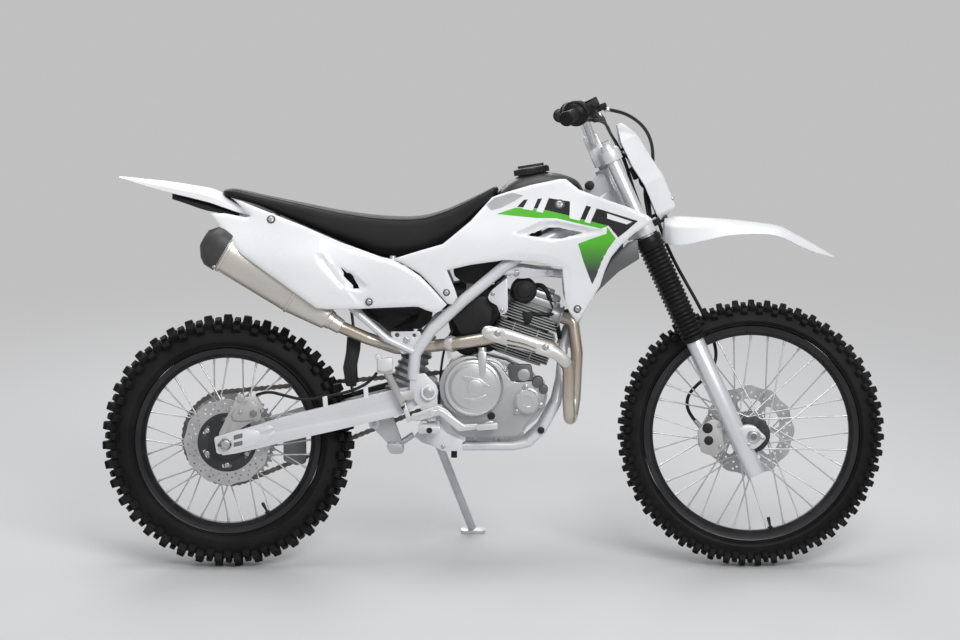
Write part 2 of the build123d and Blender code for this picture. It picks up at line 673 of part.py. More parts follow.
def chain_face(grow):
    """The face inside a line round both sprockets, grown outwards, on the chain's right side."""
    span = (front_sprocket - rear_axle).length
    heading = math.degrees(math.atan2(front_sprocket.Z - rear_axle.Z, front_sprocket.X - rear_axle.X))
    open_turn = math.degrees(math.acos((sprocket_pitch_radius - front_sprocket_radius) / span))

    def at(centre, radius, turn):
        angle = math.radians(heading + turn)
        return (centre.X + radius * math.cos(angle), centre.Z + radius * math.sin(angle))

    big = sprocket_pitch_radius + grow
    small = front_sprocket_radius + grow
    with BuildSketch(Plane.XZ.offset(-chain_side - chain_half_width)) as loop:
        with BuildLine():
            ThreePointArc(at(rear_axle, big, open_turn), at(rear_axle, big, 180), at(rear_axle, big, -open_turn))
            Line(at(rear_axle, big, -open_turn), at(front_sprocket, small, -open_turn))
            ThreePointArc(at(front_sprocket, small, -open_turn), at(front_sprocket, small, 0),
                          at(front_sprocket, small, open_turn))
            Line(at(front_sprocket, small, open_turn), at(rear_axle, big, open_turn))
        make_face()
    return loop.sketch


with BuildPart() as drive_chain:
    extrude(chain_face(chain_half_height), amount=chain_half_width * 2)
    extrude(chain_face(-chain_half_height), amount=chain_half_width * 2, mode=Mode.SUBTRACT)
    extrude(chain_face(chain_groove_height).moved(Location((0, chain_groove_width / 2 - chain_half_width, 0))),
            amount=chain_groove_width, mode=Mode.SUBTRACT)

# ==== Foot pegs, brake pedal, shift lever ====
peg_inner = 116.0
peg_outer = 235.0
peg_outline = [(-182, 366), (-126, 366), (-126, 383), (-182, 383)]
pedal_side = 131.0
with BuildPart() as foot_controls:
    side_plate(peg_outline, peg_inner, peg_outer, 5)
    side_plate(peg_outline, -peg_outer, -peg_inner, 5)
    for side in (-1, 1):
        near, far = sorted((side * (104 + seat_gap), side * (peg_inner + 4)))
        round_across(Vector(-150, 0, 370), 9, near, far)
    bar([(-198, -pedal_side, 400), (-128, -pedal_side, 418), (-66, -pedal_side, 374), (-20, -pedal_side, 372)], 5.5, 10)
    side_plate([(-34, 366), (20, 370), (20, 386), (-34, 380)], pedal_side - 8, pedal_side + 22, 4)
    round_across(Vector(-150, 0, 412), 9, -pedal_side - 6, -pivot_plate_outer - seat_gap)
    bar([(-70, 128, 404), (40, 134, 384)], 5.5)
    bar([(36, 130, 385), (36, 172, 385)], 8)
    round_across(Vector(-70, 0, 404), 11, cover_side - 26 + seat_gap, 134)

# ==== Rear brake ====
pad_gap = 2.5
rear_caliper_outline = [(16, 64), (20, 110), (76, 120), (94, 92), (84, 56), (40, 52)]
caliper_bracket_outline = [(-20, 8), (16, 24), (76, 60), (84, 102), (20, 108), (-20, 24)]
rear_caliper_inner = 36.0
caliper_bracket_inner = 70.0
rear_caliper_outer = 79.0
with BuildPart() as rear_brake:
    side_plate(around(rear_axle, rear_caliper_outline), rear_caliper_inner, rear_caliper_outer, 6)
    side_plate(around(rear_axle, caliper_bracket_outline), caliper_bracket_inner, rear_caliper_outer, 4)
    round_across(rear_axle, hub_barrel_radius, -rear_caliper_outer, -caliper_bracket_inner)
    round_across(rear_axle, rear_disc_radius + pad_gap, -disc_side - disc_thickness - pad_gap,
                 -disc_side + pad_gap, mode=Mode.SUBTRACT)
    round_across(rear_axle, 15, -90, -60, mode=Mode.SUBTRACT)
    side_plate([(-290, 512), (-250, 510), (-250, 546), (-290, 546)], 112, 138, 4)
    bar([(-264, -126, 514), (-222, -126, 428)], 10)
    bar([(-222, -126, 428), (-208, -130, 412)], 4)
    side_plate([(-240, 462), (-196, 470), (-196, 446), (-232, 440)], pivot_plate_outer + seat_gap, 132, 3)

rear_hose_radius = 4.0
rear_hose_route = [
    (rear_axle.X + 76, -60, rear_axle.Z + 122), (rear_axle.X + 104, -72, rear_axle.Z + 134), (-532, -88, 452), (-482, -96, 440), (-432, -97, 448), (-386, -97, 456),
    (-340, -100, 470), (-304, -110, 492), (-291, -125, 512),
]


def held_bends(route):
    """The widest arc at each corner of a held hose: 0.45 of its shorter run over the half turn's tangent."""
    radii = []
    for before, corner, after in zip(route, route[1:], route[2:]):
        come = Vector(corner) - Vector(before)
        go = Vector(after) - Vector(corner)
        half_turn = math.radians(come.get_angle(go)) / 2
        radii.append(0.45 * min(come.length, go.length) / math.tan(half_turn))
    return radii


def hose(route, radius, name):
    """Sweep a held hose and print its bend radii and its length."""
    radii = held_bends(route)
    with BuildLine() as path:
        run = FilletPolyline(*route, radius=radii)
    with BuildSketch(Plane(origin=run @ 0, z_dir=run % 0)) as section:
        Circle(radius)
    sweep(sections=section.sketch, path=path.line)
    print(f"{name}: bends {[round(r) for r in radii]} mm, length {run.length:.0f} mm")


with BuildPart() as rear_brake_hose:
    hose(rear_hose_route, rear_hose_radius, "rear_brake_hose")

# ==== Seat, tank and cap ====
seat_stations = [
    (-688, 973, 983, 52), (-600, 941, 970, 84), (-489, 897, 947, 106), (-380, 850, 924, 114),
    (-270, 812, 911, 112), (-180, 816, 911, 96), (-110, 850, 930, 80), (-40, 912, 958, 66), (22, 976, 990, 50),
]
with BuildPart() as seat:
    for x, bottom, top, half_width in seat_stations:
        shoulder = top - (top - bottom) * 0.3
        with BuildSketch(Plane.YZ.offset(x)) as station:
            with BuildLine():
                Polyline((-half_width, bottom), (half_width, bottom), (half_width, shoulder),
                         (half_width * 0.72, top), (-half_width * 0.72, top), (-half_width, shoulder), close=True)
            make_face()
    loft(ruled=True)

tank_stations = [
    (-50, 858, 900, 62), (28, 862, 975, 72), (70, 868, 1010, 84), (150, 884, 1022, 94), (212, 912, 1010, 86),
    (244, 940, 990, 60),
]
cap_tilt = 9.0
cap_plane = Plane(origin=(110, 0, 1022), x_dir=(math.cos(math.radians(cap_tilt)), 0, math.sin(math.radians(cap_tilt))),
                  z_dir=(-math.sin(math.radians(cap_tilt)), 0, math.cos(math.radians(cap_tilt))))
with BuildPart() as fuel_tank:
    for x, bottom, top, half_width in tank_stations:
        shoulder = top - (top - bottom) * 0.35
        with BuildSketch(Plane.YZ.offset(x)) as station:
            with BuildLine():
                Polyline((-half_width * 0.7, bottom), (half_width * 0.7, bottom), (half_width, shoulder),
                         (half_width * 0.6, top), (-half_width * 0.6, top), (-half_width, shoulder), close=True)
            make_face()
    loft(ruled=True)
    # filler neck, and the saddle on the frame's cross tube
    with BuildSketch(cap_plane.offset(-seat_gap)) as neck:
        Circle(36)
    extrude(amount=-22)
    saddle_bottom = tank_tube.Z + tank_tube_radius + seat_gap
    side_plate([(tank_tube.X - 15, 892), (tank_tube.X + 15, 892), (tank_tube.X + 15, saddle_bottom),
                (tank_tube.X - 15, saddle_bottom)], -20, 20)

with BuildPart() as fuel_cap:
    with BuildSketch(cap_plane) as cap_face:
        Circle(44)
    extrude(amount=20)
    with BuildSketch(cap_plane.offset(20)) as cap_grip:
        RectangleRounded(70, 16, 7)
    extrude(amount=6)

# ==== Shrouds, side covers, fenders ====
panel_wall = 3.5


def skin(levels):
    """Loft a thin upright wall on the right through plan curves, each at its own height."""
    strips = []
    for height, curve in levels:
        with BuildSketch(Plane.XY.offset(height)) as strip:
            with BuildLine():
                outer = Spline(*[(x, -side) for x, side in curve])
                inner = Spline(*[(x, panel_wall - side) for x, side in curve])
                Line(outer @ 0, inner @ 0)
                Line(outer @ 1, inner @ 1)
            make_face()
        strips.append(strip.sketch)
    loft(strips)


shroud_levels = [
    (600, [(-320, 128), (0, 132), (200, 136), (330, 140), (460, 142)]),
    (740, [(-320, 134), (0, 138), (200, 144), (330, 154), (460, 154)]),
    (860, [(-320, 130), (0, 134), (200, 150), (330, 168), (460, 174)]),
    (960, [(-320, 96), (0, 98), (200, 120), (330, 158), (460, 172)]),
    (1040, [(-320, 70), (0, 72), (200, 90), (330, 136), (460, 156)]),
]
shroud_outline = [
    (-249, 806), (-177, 828), (-121, 844), (-101, 860), (-50, 902), (6, 963), (26, 971), (103, 994), (179, 1010),
    (196, 1010), (230, 983), (294, 960), (357, 939), (403, 919), (416, 908), (402, 894), (369, 873), (336, 844),
    (310, 812), (295, 778), (282, 737), (242, 669), (224, 642), (204, 670), (194, 698), (186, 782), (153, 792),
    (115, 800), (39, 804), (-50, 791), (-110, 777), (-101, 756), (-90, 730), (-83, 707), (-96, 689), (-108, 691),
    (-152, 740), (-177, 766), (-215, 790),
]
with BuildPart() as tank_shrouds:
    skin(shroud_levels)
    with BuildSketch(Plane.XZ) as shroud_side:
        with BuildLine():
            Polyline(*shroud_outline, close=True)
        make_face()
    extrude(amount=300, mode=Mode.INTERSECT)
    # bosses to the tank's side and to the down tube
    round_across(Vector(179, 0, 946), 8, -119.5, -83.4)
    round_across(Vector(225, 0, 678), 6, -133, -down_tube_radius - seat_gap)
    mirror(about=Plane.XZ)

cover_levels = [
    (660, [(-780, 156), (-560, 160), (-460, 160), (-300, 150), (-60, 134)]),
    (740, [(-780, 156), (-560, 162), (-460, 162), (-300, 150), (-60, 135)]),
    (820, [(-780, 150), (-560, 156), (-460, 152), (-300, 140), (-60, 130)]),
    (920, [(-780, 98), (-560, 114), (-460, 120), (-300, 116), (-60, 104)]),
    (1000, [(-780, 84), (-560, 100), (-460, 108), (-300, 104), (-60, 92)]),
]
cover_outline = [
    (-718, 922), (-680, 870), (-635, 818), (-462, 694), (-444, 681), (-418, 678), (-330, 679), (-197, 684),
    (-182, 683), (-164, 675), (-139, 667), (-126, 673), (-110, 689), (-154, 738), (-179, 763), (-217, 788),
    (-250, 805), (-277, 811), (-382, 849), (-484, 893), (-637, 952), (-657, 957), (-614, 915), (-627, 912),
    (-680, 922),
]
with BuildPart() as side_covers:
    skin(cover_levels)
    with BuildSketch(Plane.XZ) as cover_side_view:
        with BuildLine():
            Polyline(*cover_outline, close=True)
        make_face()
    extrude(amount=300, mode=Mode.INTERSECT)
    # bosses to the upper and lower seat rails
    round_across(Vector(-590, 0, 873), 8, -134.5, -82.2)
    round_across(Vector(-364, 0, 690), 7, -154.5, -120.6)
    mirror(about=Plane.XZ)


def arch(stations):
    """Loft an arched shell along X: each station gives its place, crown height, edge height and half width."""
    strips = []
    for x, crown, edge, half_width in stations:
        inner_width = half_width - panel_wall
        with BuildSketch(Plane.YZ.offset(x)) as strip:
            with BuildLine():
                outer = ThreePointArc((-half_width, edge), (0, crown), (half_width, edge))
                inner = ThreePointArc((-inner_width, edge), (0, crown - panel_wall), (inner_width, edge))
                Line(outer @ 0, inner @ 0)
                Line(outer @ 1, inner @ 1)
            make_face()
        strips.append(strip.sketch)
    loft(strips)


with BuildPart() as rear_fender:
    arch([(-958, 1010, 1004, 36), (-876, 1004, 985, 58), (-773, 988, 960, 78), (-698, 966, 932, 88),
          (-620, 930, 904, 88)])
    for side in (-60, 60):
        side_plate([(-655, 911), (-630, 901.6), (-630, 919.5), (-655, 928.5)], side - 3, side + 3)

mudguard_route = [(-355, 448), (-368, 520), (-352, 604), (-362, 690), (-440, 784), (-580, 848), (-700, 892), (-812, 946)]
mudguard_side = 52.0
with BuildPart() as inner_mudguard:
    with BuildSketch(Plane.XZ.offset(-mudguard_side)) as guard_line:
        with BuildLine():
            FilletPolyline(*mudguard_route, radius=40)
        trace(line_width=4)
    extrude(amount=2 * mudguard_side)
    # clip under the seat rails' cross bar
    side_plate([(-552, 826), (-528, 836), (-528, 849 - seat_gap), (-552, 849 - seat_gap)], -15, 15)

# how far ahead of the front axle, how high over it at the crown and at the edge, and half the width
fender_places = [(-234, 561, 531, 52), (-180, 561, 495, 82), (-86, 554, 501, 86), (18, 544, 510, 80),
                 (95, 519, 495, 68), (152, 488, 474, 54), (204, 458, 454, 32)]
fender_stations = [(front_axle.X + ahead, front_axle.Z + crown, front_axle.Z + edge, half_width)
                   for ahead, crown, edge, half_width in fender_places]
with BuildPart() as front_fender:
    arch(fender_stations)
    with BuildSketch(across_fork(596, 0)) as fender_tab:
        with Locations((14, 0)):
            Rectangle(37, 60)
    extrude(amount=14)

# ==== Front end ====
fork_tube_radius = 18.5
slider_radius = 23.5
slider_bottom = -95.0
slider_top = 288.0
gaiter_bottom = 286.0
gaiter_top = 582.0
gaiter_radius = 32.0
lower_clamp_bottom = 588.0
lower_clamp_height = 36.0
upper_clamp_bottom = 795.0
upper_clamp_height = 30.0
leg_places = [(-axle_lead, -leg_side), (-axle_lead, leg_side)]


def both_legs(bottom, top, radius, inner_radius=0.0, mode=Mode.ADD):
    """A round piece on each fork leg, from bottom to top along the leg."""
    with BuildSketch(across_fork(bottom)) as rings:
        with Locations(*leg_places):
            Circle(radius)
            if inner_radius > 0:
                Circle(inner_radius, mode=Mode.SUBTRACT)
    extrude(rings.sketch, amount=top - bottom, mode=mode)


def clamp_yoke(bottom, height, clamp_radius):
    """A triple clamp: a ring round each leg and a web that reaches back to the steering stem."""
    with BuildSketch(across_fork(bottom)) as yoke:
        with Locations(*leg_places):
            Circle(clamp_radius)
        with BuildLine():
            Polyline((-axle_lead - 20, -leg_side), (-axle_lead + 22, -leg_side), (-axle_lead + 30, 0),
                     (-axle_lead + 22, leg_side), (-axle_lead - 20, leg_side), (steering_behind - 22, 20),
                     (steering_behind - 22, -20), close=True)
        make_face()
    extrude(yoke.sketch, amount=height)


bar_along = 858.0
bar_ahead = -62.0
bar_radius = 11.0
with BuildPart() as triple_clamps:
    clamp_yoke(lower_clamp_bottom, lower_clamp_height, fork_tube_radius + 9)
    clamp_yoke(upper_clamp_bottom, upper_clamp_height, fork_tube_radius + 9)
    with BuildSketch(across_fork(lower_clamp_bottom + 1, steering_behind)) as stem:
        Circle(stem_radius)
    extrude(amount=upper_clamp_bottom + upper_clamp_height + 8 - lower_clamp_bottom)
    with BuildSketch(across_fork(upper_clamp_bottom + 1, bar_ahead)) as risers:
        with Locations((0, 48), (0, -48)):
            Rectangle(36, 30)
    extrude(amount=bar_along + 19 - upper_clamp_bottom)
    both_legs(lower_clamp_bottom - 1, upper_clamp_bottom + upper_clamp_height + 1, fork_tube_radius + running_gap,
              mode=Mode.SUBTRACT)
    with BuildSketch(Plane(origin=fork_point(bar_along, bar_ahead, -200), x_dir=fork_ahead, z_dir=(0, 1, 0))) as bore:
        Circle(bar_radius + running_gap)
    extrude(amount=400, mode=Mode.SUBTRACT)

with BuildPart() as fork_tubes:
    both_legs(slider_top + seat_gap, upper_clamp_bottom + upper_clamp_height + 12, fork_tube_radius)

with BuildPart() as fork_gaiters:
    both_legs(gaiter_bottom + 4, gaiter_top, gaiter_radius, fork_tube_radius + seat_gap)

caliper_lug_inner = leg_side - 15
caliper_lug_outer = leg_side - 7
caliper_lug_outline = [(-124, -17), (-90, -17), (-80, 45), (-58, 77), (-30, 53), (-40, 3), (-62, -47)]
with BuildPart() as fork_sliders:
    both_legs(slider_bottom, slider_top, slider_radius)
    for side in (-1, 1):
        near, far = sorted((side * (leg_side - 22), side * (leg_side + 16)))
        round_across(front_axle, 22, near, far)
        with BuildSketch(across_fork(-20, -axle_lead / 2, side * (leg_side - 3))) as axle_web:
            Rectangle(axle_lead, 36)
        extrude(amount=40)
    side_plate(around(front_axle, caliper_lug_outline), -caliper_lug_outer, -caliper_lug_inner, 4)
    round_across(front_axle, front_axle_radius + running_gap, -wheelbase / 4, wheelbase / 4, mode=Mode.SUBTRACT)

with BuildPart() as front_axle_pin:
    round_across(front_axle, front_axle_radius, -leg_side - 24, leg_side + 24)
    for side in (-1, 1):
        near, far = sorted((side * (leg_side + 16 + seat_gap), side * (leg_side + 24)))
        round_across(front_axle, 13, near, far)
    round_across(front_axle, 13, -leg_side + 22 + seat_gap, -disc_side - 2)
    round_across(front_axle, 13, disc_side + 2, leg_side - 22 - seat_gap)
    round_across(front_axle, axle_bore_radius, -wheelbase / 4, wheelbase / 4, mode=Mode.SUBTRACT)

bar_end_along = 950.0
bar_end = fork_point(bar_end_along, -104, 398)
bar_bend = fork_point(bar_end_along, -56, 196)
bar_run = (bar_end - bar_bend).normalized()
with BuildPart() as handlebar:
    right = [fork_point(bar_along, bar_ahead, 0), fork_point(bar_along, bar_ahead, 96), bar_bend, bar_end]
    bar(right, bar_radius, 50)
    bar([Vector(p.X, -p.Y, p.Z) for p in right], bar_radius, 50)
    bar([fork_point(924, -57, -166), fork_point(924, -57, 166)], 6)

grip_length = 122.0
grip_radius = 16.0


def on_bar(sign, from_end, length, radius, inner_radius):
    """A sleeve round the handlebar, from_end millimetres in from one bar end."""
    run = Vector(bar_run.X, sign * bar_run.Y, bar_run.Z)
    outer = Vector(bar_end.X, sign * bar_end.Y, bar_end.Z) - run * from_end
    bar([outer, outer - run * length], radius, inner_radius=inner_radius)


def along_bar(sign, from_end, ahead=0.0, up=0.0):
    """A point beside the handlebar, from_end millimetres in from one bar end."""
    run = Vector(bar_run.X, sign * bar_run.Y, bar_run.Z)
    return Vector(bar_end.X, sign * bar_end.Y, bar_end.Z) - run * from_end + fork_ahead * ahead + fork_up * up


with BuildPart() as grips:
    for sign in (-1, 1):
        on_bar(sign, -2, grip_length, grip_radius, bar_radius + running_gap)

with BuildPart() as hand_controls:
    for sign in (-1, 1):
        on_bar(sign, grip_length - 1, 34, 22, bar_radius + running_gap)
        on_bar(sign, grip_length + 38, 22, 18, bar_radius + running_gap)
        bar([along_bar(sign, grip_length + 49, 22, -4), along_bar(sign, grip_length + 48, 45, -44)], 8)
        bar([along_bar(sign, grip_length + 50, 45, -44), along_bar(sign, grip_length - 40, 66, -42),
             along_bar(sign, 16, 58, -33)], 5, 60)
    bar([along_bar(-1, grip_length + 40, 30, -12), along_bar(-1, grip_length + 102, 34, -12)], 11)
    with BuildSketch(across_fork(bar_end_along - 8, -27, -222)) as reservoir:
        RectangleRounded(36, 44, 6)
    extrude(amount=22)

clamp_front = -axle_lead + 30 + seat_gap
plate_stations = [(616, 24, 14, 26), (640, 52, 10, 62), (730, 46, 3, 92), (818, 40, -3, 86), (876, 24, 12, 50)]
with BuildPart() as number_plate:
    for along, ahead, edge, half_width in plate_stations:
        with BuildSketch(across_fork(along)) as strip:
            with BuildLine():
                outer = ThreePointArc((edge, -half_width), (ahead, 0), (edge, half_width))
                inner = ThreePointArc((edge, -half_width + panel_wall), (ahead - panel_wall, 0),
                                      (edge, half_width - panel_wall))
                Line(outer @ 0, inner @ 0)
                Line(outer @ 1, inner @ 1)
            make_face()
    loft()
    # two tabs that reach back to the triple clamps
    for along, reach in ((616, 23), (806, 38)):
        with BuildSketch(across_fork(along)) as plate_tab:
            with Locations(((reach + clamp_front) / 2, 0)):
                Rectangle(reach - clamp_front, 26)
        extrude(amount=7)

front_caliper_outline = [(-135, -35), (-126, 9), (-108, 41), (-96, 33), (-88, -7), (-86, -47), (-118, -59)]
front_caliper_inner = 42.0
hose_fitting_length = 24.0
hose_end = fork_point(84, -118, 61)
hose_end_run = (hose_end - fork_point(112, -126, 60)).normalized()
with BuildPart() as front_brake_caliper:
    side_plate(around(front_axle, front_caliper_outline), -caliper_lug_inner + seat_gap, -front_caliper_inner, 5)
    round_across(front_axle, front_disc_radius + pad_gap, disc_side - pad_gap, disc_side + disc_thickness + pad_gap,
                 mode=Mode.SUBTRACT)
    # fitting for the brake hose
    bar([hose_end + hose_end_run * seat_gap, hose_end + hose_end_run * hose_fitting_length], 6)

front_hose_radius = 4.5
front_hose_places = [
    (934, -10, -171), (918, 14, -156), (896, 42, -130), (866, 64, -96), (832, 77, -54), (796, 78, -8), (762, 69, 34),
    (724, 52, 70), (686, 34, 96), (640, 20, 109), (586, 11, 107), (530, 6, 102), (472, 7, 98), (414, 12, 97),
    (356, 17, 99), (300, 19, 98), (248, 15, 89), (206, 2, 74), (176, -34, 60), (166, -78, 56), (148, -112, 58),
    (112, -126, 60), (84, -118, 61),
]
front_hose_route = [fork_point(*place) for place in front_hose_places]
with BuildPart() as front_brake_hose:
    hose(front_hose_route, front_hose_radius, "front_brake_hose")

cable_radius = 3.5
cable_end_along = lower_clamp_bottom + lower_clamp_height + seat_gap
clutch_cable_places = [
    (922, -29, 222.8), (922, -14, 190), (906, -4, 150), (872, -9, 100), (830, -5, 60), (776, -5, 46),
    (726, -12, 38), (676, -17, 34), (cable_end_along, -20, 32),
]
throttle_cable_places = [
    (926.5, -67.5, -245.8), (919, -48, -220), (906, -24, -186), (886, -11, -146), (862, -12, -100), (828, -5, -60),
    (776, -5, -46), (722, -13, -38), (672, -17, -34), (cable_end_along, -20, -32),
]
clutch_cable_route = [fork_point(*place) for place in clutch_cable_places]
throttle_cable_route = [fork_point(*place) for place in throttle_cable_places]
with BuildPart() as control_cables:
    hose(clutch_cable_route, cable_radius, "clutch cable")
    hose(throttle_cable_route, cable_radius, "throttle cable")

# ==== Park the finished bike on its stand and write each piece ====
pieces = {
    "main_frame": main_frame,
    "seat_rails": seat_rails,
    "crankcase": crankcase,
    "cylinder": cylinder,
    "cylinder_head": cylinder_head,
    "intake": intake,
    "exhaust_header": exhaust_header,
    "header_heat_shield": header_heat_shield,
    "muffler": muffler,
    "muffler_end_cap": muffler_end_cap,
    "swingarm": swingarm,
    "pivot_bolt": pivot_bolt,
    "rear_axle": rear_axle_pin,
    "rear_suspension": rear_suspension,
    "drive_chain": drive_chain,
    "foot_controls": foot_controls,
    "rear_brake": rear_brake,
    "rear_brake_hose": rear_brake_hose,
    "seat": seat,
    "fuel_tank": fuel_tank,
    "fuel_cap": fuel_cap,
    "tank_shrouds": tank_shrouds,
    "side_covers": side_covers,
    "rear_fender": rear_fender,
    "inner_mudguard": inner_mudguard,
    "triple_clamps": triple_clamps,
    "fork_tubes": fork_tubes,
    "fork_gaiters": fork_gaiters,
    "fork_sliders": fork_sliders,
    "front_axle": front_axle_pin,
    "handlebar": handlebar,
    "grips": grips,
    "hand_controls": hand_controls,
    "number_plate": number_plate,
    "front_fender": front_fender,
    "front_brake_caliper": front_brake_caliper,
    "front_brake_hose": front_brake_hose,
    "control_cables": control_cables,
    "front_tyre": front_tyre,
    "front_rim": front_rim,
    "front_spokes": front_spokes,
    "front_hub": front_hub,
    "front_brake_disc": front_brake_disc,
    "rear_tyre": rear_tyre,
    "rear_rim": rear_rim,
    "rear_spokes": rear_spokes,
    "rear_hub": rear_hub,
    "rear_brake_disc": rear_brake_disc,
    "rear_sprocket": rear_sprocket,
    "side_stand": side_stand,
}
leaned = Location((0, 0, 0), (-park_lean, 0, 0))
boxes = [piece.part.moved(leaned).bounding_box() for piece in pieces.values()]
underside = Vector(
    (min(box.min.X for box in boxes) + max(box.max.X for box in boxes)) / 2,
    (min(box.min.Y for box in boxes) + max(box.max.Y for box in boxes)) / 2,
    min(box.min.Z for box in boxes),
)
parked = Location(-underside) * leaned
for name, piece in pieces.items():
    piece.part = piece.part.moved(parked)
    piece.part.label = name
    export_step(piece.part, f"parts/{name}.step")
print(f"origin of the upright frame, parked: {(parked * Location()).position}")
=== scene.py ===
"""The looks of an air-cooled dirt bike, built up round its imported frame, as it leans on its side stand."""

import json
import math

import bpy
from mathutils import Matrix, Vector


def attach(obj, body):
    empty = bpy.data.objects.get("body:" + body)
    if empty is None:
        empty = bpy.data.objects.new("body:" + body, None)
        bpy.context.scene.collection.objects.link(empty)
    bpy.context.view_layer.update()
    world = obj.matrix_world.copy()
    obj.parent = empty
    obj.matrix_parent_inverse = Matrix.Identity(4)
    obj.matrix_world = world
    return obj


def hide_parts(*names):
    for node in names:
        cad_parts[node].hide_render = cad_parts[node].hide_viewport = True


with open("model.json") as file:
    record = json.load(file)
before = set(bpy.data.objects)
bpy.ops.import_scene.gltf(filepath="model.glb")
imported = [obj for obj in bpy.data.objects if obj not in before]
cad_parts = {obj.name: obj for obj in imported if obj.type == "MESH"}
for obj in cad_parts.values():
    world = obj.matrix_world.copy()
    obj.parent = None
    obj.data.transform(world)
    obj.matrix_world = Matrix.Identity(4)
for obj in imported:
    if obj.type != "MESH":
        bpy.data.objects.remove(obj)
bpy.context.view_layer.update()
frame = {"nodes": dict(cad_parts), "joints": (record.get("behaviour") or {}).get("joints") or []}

# ==== Camera ====
# The bike is seen square on its right side from ten metres away and a little above its middle.
# The view leans with the bike, so that its frame, wheels and forks show undistorted.


def moved(x, y, z):
    """A shift."""
    return Matrix.Translation((x, y, z))


def rotated(degrees, axis):
    """A turn about one axis."""
    return Matrix.Rotation(math.radians(degrees), 4, axis)


def standing(ahead, left, up):
    """The turn that takes x, y and z to three square directions."""
    return Matrix((ahead, left, up)).transposed().to_4x4()


joints = {joint["name"]: joint for joint in frame["joints"]}
front_axle = Vector(joints["front_wheel_spin"]["pos_m"])
rear_axle = Vector(joints["rear_wheel_spin"]["pos_m"])
axle_line = Vector(joints["rear_wheel_spin"]["axis"])
lean = math.atan2(-axle_line.z, axle_line.y)
wheelbase = front_axle.x - rear_axle.x
rear_tyre_radius = 0.328
front_tyre_radius = 0.347
# Sizes below are metres on the upright bike: x forward from midway between the axles, y to its left, z up.
parked = moved(*rear_axle) @ Matrix.Rotation(-lean, 4, "X") @ moved(wheelbase / 2, 0, -rear_tyre_radius)

aim_x = -0.025
aim_height = 0.641
camera_distance = 10.0
camera_height = 1.27
frame_width = 2.492
camera = bpy.data.objects.new("camera", bpy.data.cameras.new("camera"))
bpy.context.collection.objects.link(camera)
camera.data.sensor_width = 36
camera.data.lens = camera.data.sensor_width * camera_distance / frame_width
camera.data.clip_end = 60
eye = parked @ Vector((aim_x, -camera_distance, camera_height))
look = (parked @ Vector((aim_x, 0, aim_height)) - eye).normalized()
sideways = Vector((1, 0, 0))
camera.matrix_world = moved(*eye) @ standing(sideways, sideways.cross(look), -look)
bpy.context.scene.camera = camera
bpy.context.scene.view_settings.view_transform = "Standard"

# ==== Floor and light ====
# A plain pale studio floor that fades into the backdrop's grey, under three broad soft lamps and an even sky.
floor_size = 60.0
floor_grey = (0.60, 0.602, 0.606, 1)
backdrop_grey = (0.53, 0.53, 0.535, 1)
fade_start, fade_end = 0.8, 3.4
sky_colour, sky_strength = (0.93, 0.95, 1.0, 1), 0.34


def deselect():
    """Leave edit mode, with nothing selected."""
    if bpy.context.mode != "OBJECT":
        bpy.ops.object.mode_set(mode="OBJECT")
    bpy.ops.object.select_all(action="DESELECT")


def shading(owner):
    """Turn on a material's or a world's nodes; give its nodes, a way to wire them and a way to add one."""
    owner.use_nodes = True
    nodes, wire = owner.node_tree.nodes, owner.node_tree.links.new

    def add(kind, constants=None, **settings):
        node = nodes.new("ShaderNode" + kind)
        for key, value in settings.items():
            setattr(node, key, value)
        for key, value in (constants or {}).items():
            node.inputs[key].default_value = value
        return node
    return nodes, wire, add


deselect()
bpy.ops.mesh.primitive_circle_add(vertices=64, radius=floor_size / 2, fill_type="NGON", location=(0, 0, 0))
floor = bpy.context.object
floor.name = "studio_floor"
floor_finish = bpy.data.materials.new("studio_floor")
nodes, wire, add = shading(floor_finish)
nodes["Principled BSDF"].inputs["Base Color"].default_value = floor_grey
nodes["Principled BSDF"].inputs["Roughness"].default_value = 0.75
far_glow = add("Emission", {"Color": backdrop_grey})
place = add("TexCoord")
reach = add("VectorMath", operation="LENGTH")
fade = add("MapRange", {"From Min": fade_start, "From Max": fade_end}, interpolation_type="SMOOTHSTEP")
blended = add("MixShader")
wire(place.outputs["Object"], reach.inputs[0])
wire(reach.outputs["Value"], fade.inputs["Value"])
wire(fade.outputs["Result"], blended.inputs["Fac"])
wire(nodes["Principled BSDF"].outputs["BSDF"], blended.inputs[1])
wire(far_glow.outputs["Emission"], blended.inputs[2])
wire(blended.outputs["Shader"], nodes["Material Output"].inputs["Surface"])
floor.data.materials.append(floor_finish)

sky = bpy.data.worlds.new("studio")
bpy.context.scene.world = sky
nodes, wire, add = shading(sky)
nodes["Background"].inputs["Color"].default_value = sky_colour
nodes["Background"].inputs["Strength"].default_value = sky_strength
backdrop = add("Background", {"Color": backdrop_grey})
ray = add("LightPath")
seen = add("MixShader")
seen_or_mirrored, any_view = add("Math", operation="MAXIMUM"), add("Math", operation="MAXIMUM")
wire(ray.outputs["Is Camera Ray"], seen_or_mirrored.inputs[0])
wire(ray.outputs["Is Glossy Ray"], seen_or_mirrored.inputs[1])
wire(seen_or_mirrored.outputs["Value"], any_view.inputs[0])
wire(ray.outputs["Is Transmission Ray"], any_view.inputs[1])
wire(any_view.outputs["Value"], seen.inputs["Fac"])
wire(nodes["Background"].outputs["Background"], seen.inputs[1])
wire(backdrop.outputs["Background"], seen.inputs[2])
wire(seen.outputs["Shader"], nodes["World Output"].inputs["Surface"])

